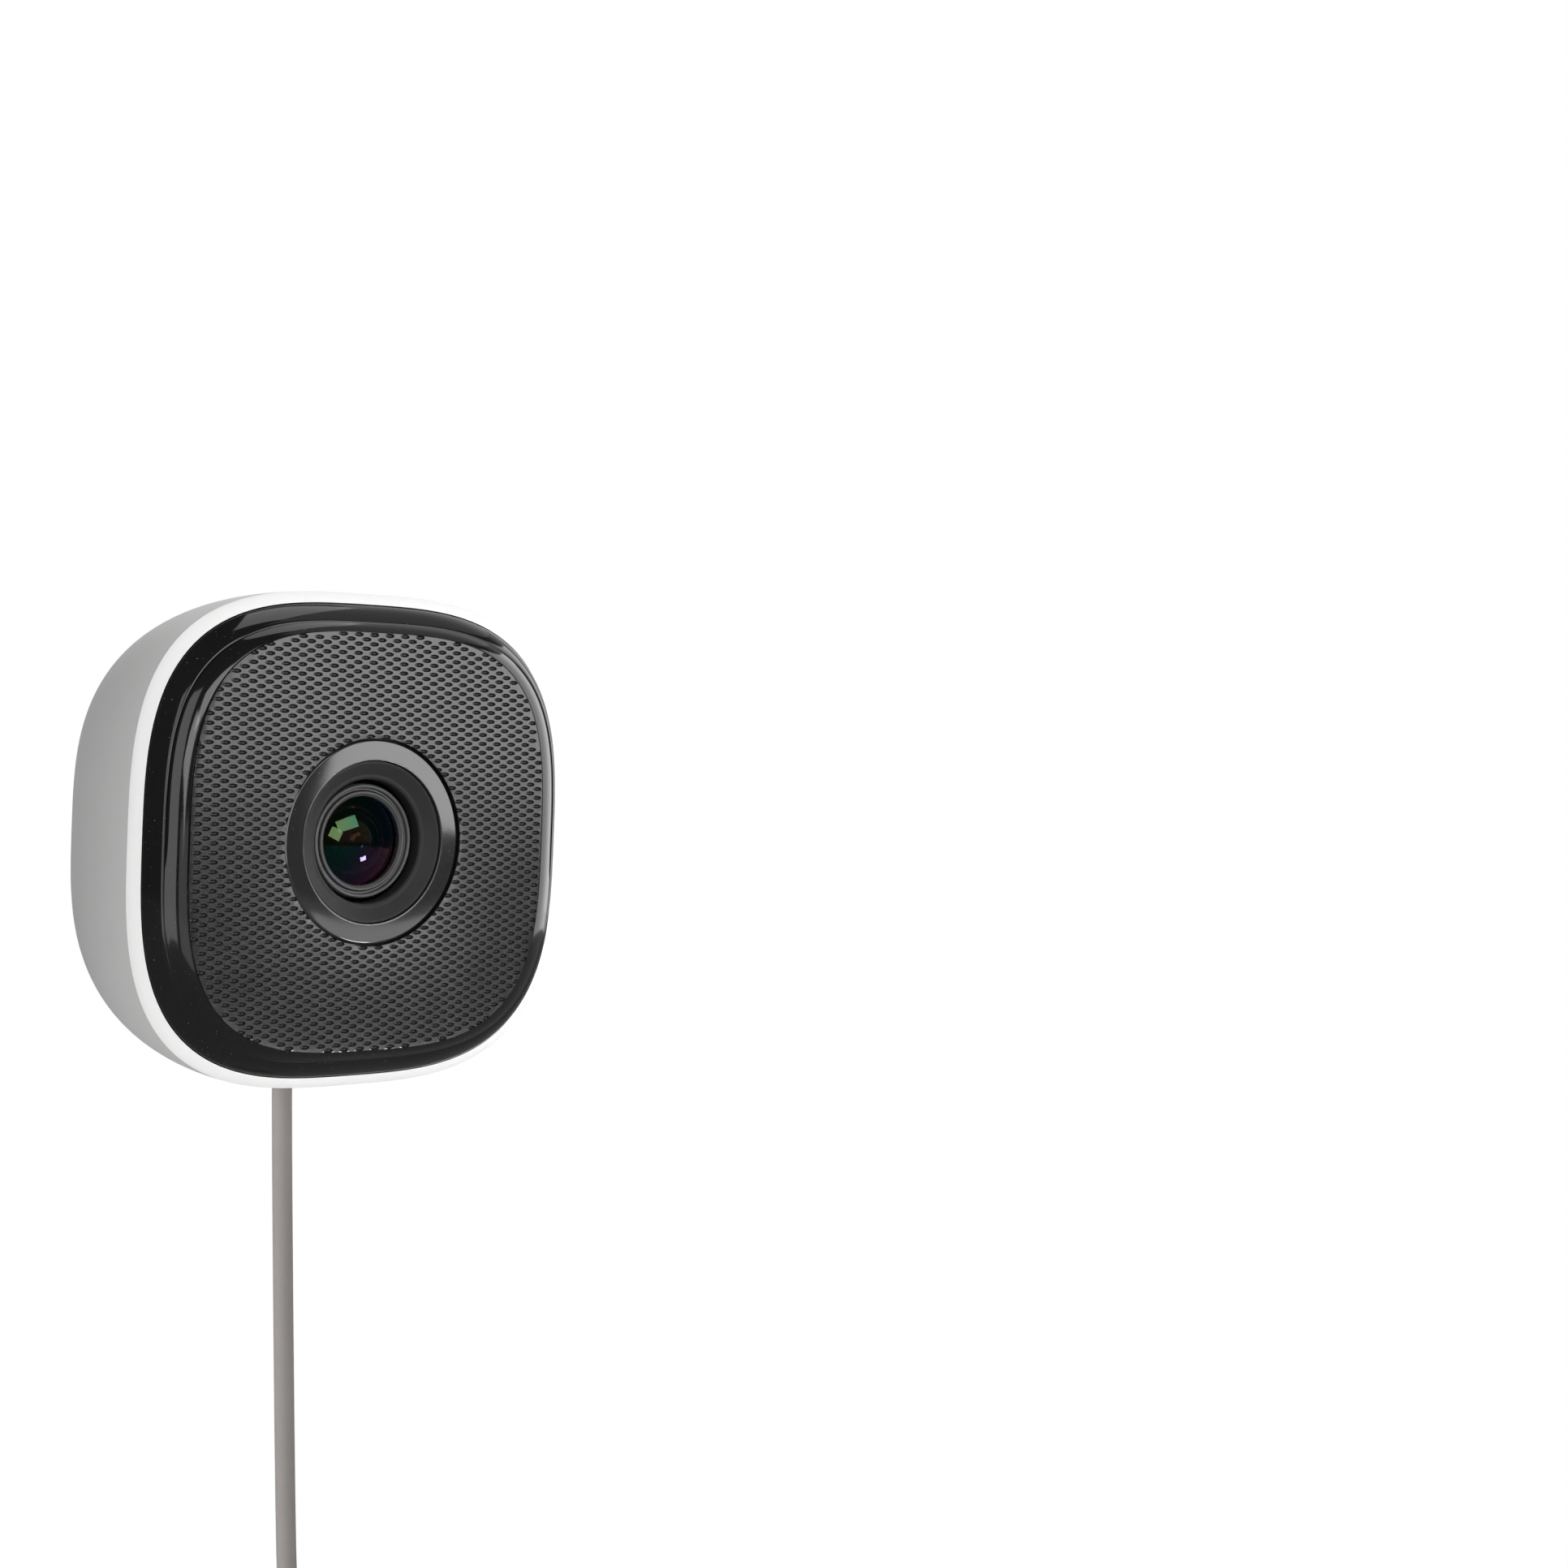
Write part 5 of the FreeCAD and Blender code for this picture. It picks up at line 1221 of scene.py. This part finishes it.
    def make_plug_body(self) -> bpy.types.Object:
        """The plug's overmould: ribbed relief, sloping shoulders and a body with finger ridges."""
        width, depth = (value / 2 for value in self.body[:2])
        top = self.relief_top
        start = top + self.relief_length
        end = start + self.body[2]
        relief = []
        for drop in np.arange(0.9, self.relief_length - 1.2, 1.5).tolist():
            wide = self.relief_radius - 0.75 + 0.65 * drop / self.relief_length
            relief += self.notch((wide, wide), ROUND, top + drop, (0.45, 0.45), 1.0)
        ridges = []
        for drop in np.arange(start + 6.0, end - 6.0, 1.6).tolist():
            ridges += self.notch((width, depth), 4.5, drop, (0.25, 0.22), 1.05)
        rows = np.array([
            (TINY, TINY, 2.0, top), (1.95, 1.95, 2.0, top), (2.15, 2.15, 2.0, top + 0.4), *relief,
            (self.relief_radius, self.relief_radius, 2.0, start - 0.4),
            (width * 0.86, depth * 0.84, 3.2, start + 0.15),
            (width * 0.97, depth * 0.95, 4.0, start + 0.9),
            (width, depth, 4.5, start + 2.4), *ridges, (width, depth, 4.8, end - 1.2),
            (width - 0.25, depth - 0.25, 4.8, end - 0.25), (width - 0.7, depth - 0.7, 4.8, end),
            (TINY, TINY, 2.0, end),
        ])
        rows = softened(rows, 0.2, 3, closed=False)
        points = loops(rows, turns(AROUND_SMALL), Axis.DROP, (self.plug_line, -self.forward, 0))
        return solid("plug_body", points, closed=False)

    def make_plug_shell(self) -> bpy.types.Object:
        """The plug's metal shell: a box open at its end, with two square windows a side."""
        width, depth, length = self.shell
        top = self.relief_top + self.relief_length + self.body[2]
        wall = self.shell_wall
        rows = np.array([
            (width / 2, depth / 2, 12.0, top), (width / 2, depth / 2, 12.0, top + length),
            (width / 2 - wall, depth / 2 - wall, 12.0, top + length),
            (width / 2 - wall, depth / 2 - wall, 12.0, top + 0.1), (TINY, TINY, 2.0, top + 0.1),
            (TINY, TINY, 2.0, top),
        ])
        points = loops(softened(rows, 0.1, 3), turns(AROUND_SMALL), Axis.DROP,
                       (self.plug_line, -self.forward, 0))
        shell = solid("plug_shell", points)
        windows = [
            block("window", (self.plug_line + side * 2.75 - 1.1, -self.forward - 3.2, -top - 7.2),
                  (self.plug_line + side * 2.75 + 1.1, -self.forward + 3.2, -top - 5.0))
            for side in (-1, 1)
        ]
        carved(shell, windows)
        return shell

    def make_contacts(self) -> list[bpy.types.Object]:
        """Four gilt strips on the plug's tongue."""
        low, high = (np.array(corner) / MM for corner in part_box("usb_plug_tongue"))
        middle = (low[0] + high[0]) / 2
        return [
            block(f"plug_contact_{number + 1}", (middle + across - 0.5, high[1] - 0.02, low[2] + 0.6),
                  (middle + across + 0.5, high[1] + 0.06, low[2] + 8.6), 0.03)
            for number, across in enumerate((-3.5, -1.0, 1.0, 3.5))
        ]

    def build(self, palette: Palette) -> None:
        palette.fit(self.make_relief(), "cord_taupe", "cable_grommet")
        cord = palette.fit(self.make_cord(), "cord_taupe", "power_cord", "cord_coil", "cord_tail")
        strap = palette.fit(self.make_tie(), "strap_black", "coil_tie")
        body = palette.fit(self.make_plug_body(), "cord_taupe", "usb_plug_body")
        shell = palette.fit(self.make_plug_shell(), "plug_metal", "usb_plug_shell")
        contacts = [palette.fit(piece, "brass") for piece in self.make_contacts()]


# Studio


@dataclass(frozen=True)
class Lamp:
    """A soft rectangular lamp that fills a window of directions as seen from the object.

    The azimuths are its left and right edges, in degrees from straight ahead to the right, and the
    heights its lower and upper edges, in degrees above the horizon. A face of radiance 1 is white.
    The distance is in metres. The tilt turns it in its own plane, in degrees. Gloss doesn't show a
    soft lamp, as for light that comes off a wide wall. The lamp doesn't reach the pieces in off, as
    with a black card beside it.
    """

    name: str
    azimuths: tuple[float, float]
    heights: tuple[float, float]
    radiance: float
    distance: float = 1.5
    tilt: float = 0.0
    soft: bool = False
    off: tuple[str, ...] = ("front_glass", *LEAD_PIECES)

    def hang(self, aim: Sequence[float]) -> None:
        """Hangs the lamp so that it faces a point."""
        turn, rise = (math.radians(sum(pair) / 2) for pair in (self.azimuths, self.heights))
        spans = [math.radians(pair[1] - pair[0]) / 2 for pair in (self.azimuths, self.heights)]
        data = bpy.data.lights.new(self.name, "AREA")
        data.shape = "RECTANGLE"
        data.size, data.size_y = (2 * self.distance * math.tan(span) for span in spans)
        data.energy = self.radiance * math.pi * data.size * data.size_y
        way = Vector((math.sin(turn) * math.cos(rise), -math.cos(turn) * math.cos(rise), math.sin(rise)))
        lamp = placed(self.name, data)
        lamp.location = Vector(aim) + way * self.distance
        tilted = Matrix.Rotation(math.radians(self.tilt), 3, "Z")
        lamp.rotation_euler = (way.to_track_quat("Z", "Y").to_matrix() @ tilted).to_euler()
        lamp.visible_camera = False
        lamp.visible_glossy = not self.soft

    def flag(self) -> None:
        """Keeps the lamp off the pieces that it doesn't reach."""
        shaded = bpy.data.collections.new(f"off_{self.name}")
        for piece in self.off:
            shaded.objects.link(bpy.data.objects[piece])
        for entry in shaded.collection_objects:
            entry.light_linking.link_state = "EXCLUDE"
        bpy.data.objects[self.name].light_linking.receiver_collection = shaded


LAMPS: tuple[Lamp, ...] = (
    Lamp("window_low", (-14.0, 0.5), (-1.0, 11.5), 4.5, tilt=-27.0, off=LEAD_PIECES),
    Lamp("window_high", (-5.0, 21.5), (9.8, 23.0), 4.5, tilt=13.0, off=LEAD_PIECES),
    Lamp("spark", (29.0, 36.0), (-23.0, -18.5), 34.0, 0.5, tilt=25.0, off=LEAD_PIECES),
    Lamp("left_strip", (-38.0, -20.0), (-15.0, 28.0), 2.1, 0.8, off=("front_glass",)),
    Lamp("left_panel", (-14.0, 4.0), (-16.0, -2.5), 1.0, 0.75),
    Lamp("left_wall", (-60.0, 0.0), (2.0, 44.0), 0.9, soft=True),
    Lamp("back_strip", (-122.0, -95.0), (-8.0, 25.0), 6.0, 1.2, soft=True,
         off=("front_glass", "housing_shell", "backdrop")),
    Lamp("back_wall", (125.0, 175.0), (6.0, 46.0), 2.2, soft=True, off=("front_glass",)),
    Lamp("softbox", (28.5, 52.0), (-2.3, 22.0), 3.3),
    Lamp("side_panel", (62.0, 99.0), (-10.0, 32.0), 2.9, 1.3),
    Lamp("ceiling", (55.0, 95.0), (60.0, 84.0), 1.9, 1.3),
    Lamp("upper_wall", (45.0, 112.0), (38.0, 60.0), 0.5, 1.4),
    Lamp("glint", (32.8, 35.6), (-6.1, -4.4), 12.0, 1.2),
    Lamp("low_lamp", (27.0, 44.0), (-14.5, -10.5), 1.3, 0.8),
)


@dataclass
class Studio:
    """The camera at the photograph's viewing angle, a pale floor and soft light."""

    eye: tuple[float, float, float] = (-234.11, -388.24, 24.07)
    yaw: float = -42.967
    pitch: float = 1.755
    roll: float = 2.4
    focal_pixels: float = 3318.7
    picture_pixels: float = 1932.0
    sensor: float = 36.0
    floor_drop: float = 226.6
    floor_radius: float = 1.8
    floor_columns: int = 96
    floor_tones: tuple[float, float] = (0.69, 0.71)
    floor_shown: float = 0.76
    floor_fade: tuple[float, float] = (0.15, 0.42)
    floor_mirrored: float = 0.2
    floor_dimmed: float = 0.75
    floor_edge: tuple[float, float] = (1.4, 1.75)
    room_tone: float = 0.07
    room_opens: tuple[float, float] = (0.35, 0.95)
    ambient: float = 0.09
    side_fill: float = 0.24
    aim: tuple[float, float, float] = (0.0, -0.04, 0.0)

    def place_camera(self) -> None:
        """Puts the camera where the photograph was taken, turned by yaw, pitch and roll."""
        data = bpy.data.cameras.new("view")
        data.sensor_width = self.sensor
        data.lens = self.focal_pixels / self.picture_pixels * self.sensor
        data.clip_start = 0.01
        data.clip_end = 50.0
        eye = placed("view", data)
        yaw, pitch, roll = (math.radians(angle) for angle in (self.yaw, self.pitch, self.roll))
        back = Vector((math.sin(yaw) * math.cos(pitch), -math.cos(yaw) * math.cos(pitch), math.sin(pitch)))
        level = Vector((math.cos(yaw), math.sin(yaw), 0.0))
        above = back.cross(level)
        right = level * math.cos(roll) + above * math.sin(roll)
        up = above * math.cos(roll) - level * math.sin(roll)
        turn = Matrix((right, up, back)).transposed().to_4x4()
        eye.matrix_world = Matrix.Translation(Vector(self.eye) * MM) @ turn
        bpy.context.scene.camera = eye

    def make_floor(self) -> bpy.types.Object:
        """A round sheet below the plug."""
        count = self.floor_columns
        angles = turns(count)
        rings = np.array([0.02, 0.25, 0.5, 0.75, 1.0])[:, None] * self.floor_radius
        points = np.stack([
            rings * np.cos(angles), rings * np.sin(angles), np.full((5, count), -self.floor_drop * MM),
        ], axis=-1).reshape(-1, 3)
        pairs = chain(0, count)[None] + np.arange(4)[:, None, None] * count
        first, after = pairs[..., 0], pairs[..., 1]
        quads = np.stack([first, first + count, after + count, after], axis=-1).reshape(-1, 4)
        mesh = bpy.data.meshes.new("backdrop")
        mesh.from_pydata(points.tolist(), [], quads.tolist() + [list(range(count))])
        mesh.shade_smooth()
        return placed("backdrop", mesh)

    def dress_floor(self, graph: Graph) -> None:
        """Pale paper that fades to a glowing white for the camera, and is dim in gloss."""
        place = graph.node("ShaderNodeTexCoord", output="Object")
        away = graph.node("ShaderNodeVectorMath", {"operation": "LENGTH"}, {0: place}, output="Value")
        straight = self.rays(graph, "Camera").largest(self.rays(graph, "Transmission"))
        shown = away.step(*self.floor_fade) * (1 - self.floor_shown) + self.floor_shown
        glowing = (straight * shown).largest(self.rays(graph, "Glossy") * self.floor_mirrored)
        low, high = ((tone,) * 3 for tone in self.floor_tones)
        paper = graph.node("ShaderNodeBsdfDiffuse",
                           sockets={"Color": graph.blend(graph.noise(400.0), low, high)})
        glow, dim = (
            graph.node("ShaderNodeEmission", sockets={"Color": (1.0, 1.0, 1.0), "Strength": strength})
            for strength in (1.0, self.room_tone)
        )
        sheet = graph.node("ShaderNodeMixShader", sockets={0: glowing, 1: paper, 2: glow})
        share = away.step(*self.floor_edge) * (1 - self.floor_dimmed) + self.floor_dimmed
        dimmed = self.rays(graph, "Glossy") * share
        graph.node_output("ShaderNodeOutputMaterial", graph.node(
            "ShaderNodeMixShader", sockets={0: dimmed, 1: sheet, 2: dim}))

    def lay_floor(self) -> None:
        """Lays and dresses the floor, which keeps a shadow near the object."""
        floor = self.make_floor()
        material = bpy.data.materials.new("backdrop")
        material.use_nodes = True
        self.dress_floor(Graph(material.node_tree))
        floor.data.materials.append(material)

    def rays(self, graph: Graph, kind: str) -> Link:
        """1 for rays of a kind: Camera, Glossy or Transmission."""
        return graph.node("ShaderNodeLightPath", output=f"Is {kind} Ray")

    def towards(self, graph: Graph, direction: Sequence[float]) -> Link:
        """How far a ray of the world points in a direction, from -1 to 1."""
        ray = graph.node("ShaderNodeTexCoord", output="Generated")
        return graph.node("ShaderNodeVectorMath", {"operation": "DOT_PRODUCT"},
                          {0: ray, 1: tuple(Vector(direction).normalized())}, output="Value")

    def light_world(self) -> None:
        """Even ambient light, a white background, and for gloss a dim room before that background."""
        world = bpy.data.worlds.new("studio")
        world.use_nodes = True
        graph = Graph(world.node_tree)
        yaw = math.radians(self.yaw)
        behind = self.towards(graph, (-math.sin(yaw), math.cos(yaw), 0.0))
        left = self.towards(graph, (-1.0, -0.9, 0.1))
        ambient = left.step(-0.1, 1.0) * self.side_fill + self.ambient
        straight = self.rays(graph, "Camera").largest(self.rays(graph, "Transmission"))
        room = behind.step(*self.room_opens) * (1 - self.room_tone) + self.room_tone
        strength = graph.node("ShaderNodeMix", {"data_type": "FLOAT"},
                              {0: self.rays(graph, "Glossy"), 2: ambient, 3: room})
        strength = graph.node("ShaderNodeMix", {"data_type": "FLOAT"}, {0: straight, 2: strength, 3: 1.0})
        background = graph.node("ShaderNodeBackground",
                                sockets={"Strength": strength, "Color": (1.0, 1.0, 1.0)})
        graph.node_output("ShaderNodeOutputWorld", background)
        bpy.context.scene.world = world

    def build(self) -> None:
        """Sets up the whole studio."""
        bpy.context.scene.view_settings.view_transform = "Standard"
        self.place_camera()
        self.lay_floor()
        self.light_world()
        for lamp in LAMPS:
            lamp.hang(self.aim)


def main() -> None:
    """Builds the scene."""
    logging.basicConfig(level=logging.INFO, format="%(name)s: %(message)s")
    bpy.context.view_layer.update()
    Studio().build()
    palette = Palette()
    Lead().build(palette)
    Housing().build(palette)
    FrontFace().build(palette)
    LensUnit().build(palette)
    palette.dress_nodes()
    for lamp in LAMPS:
        lamp.flag()


if __name__ == "__main__":
    main()
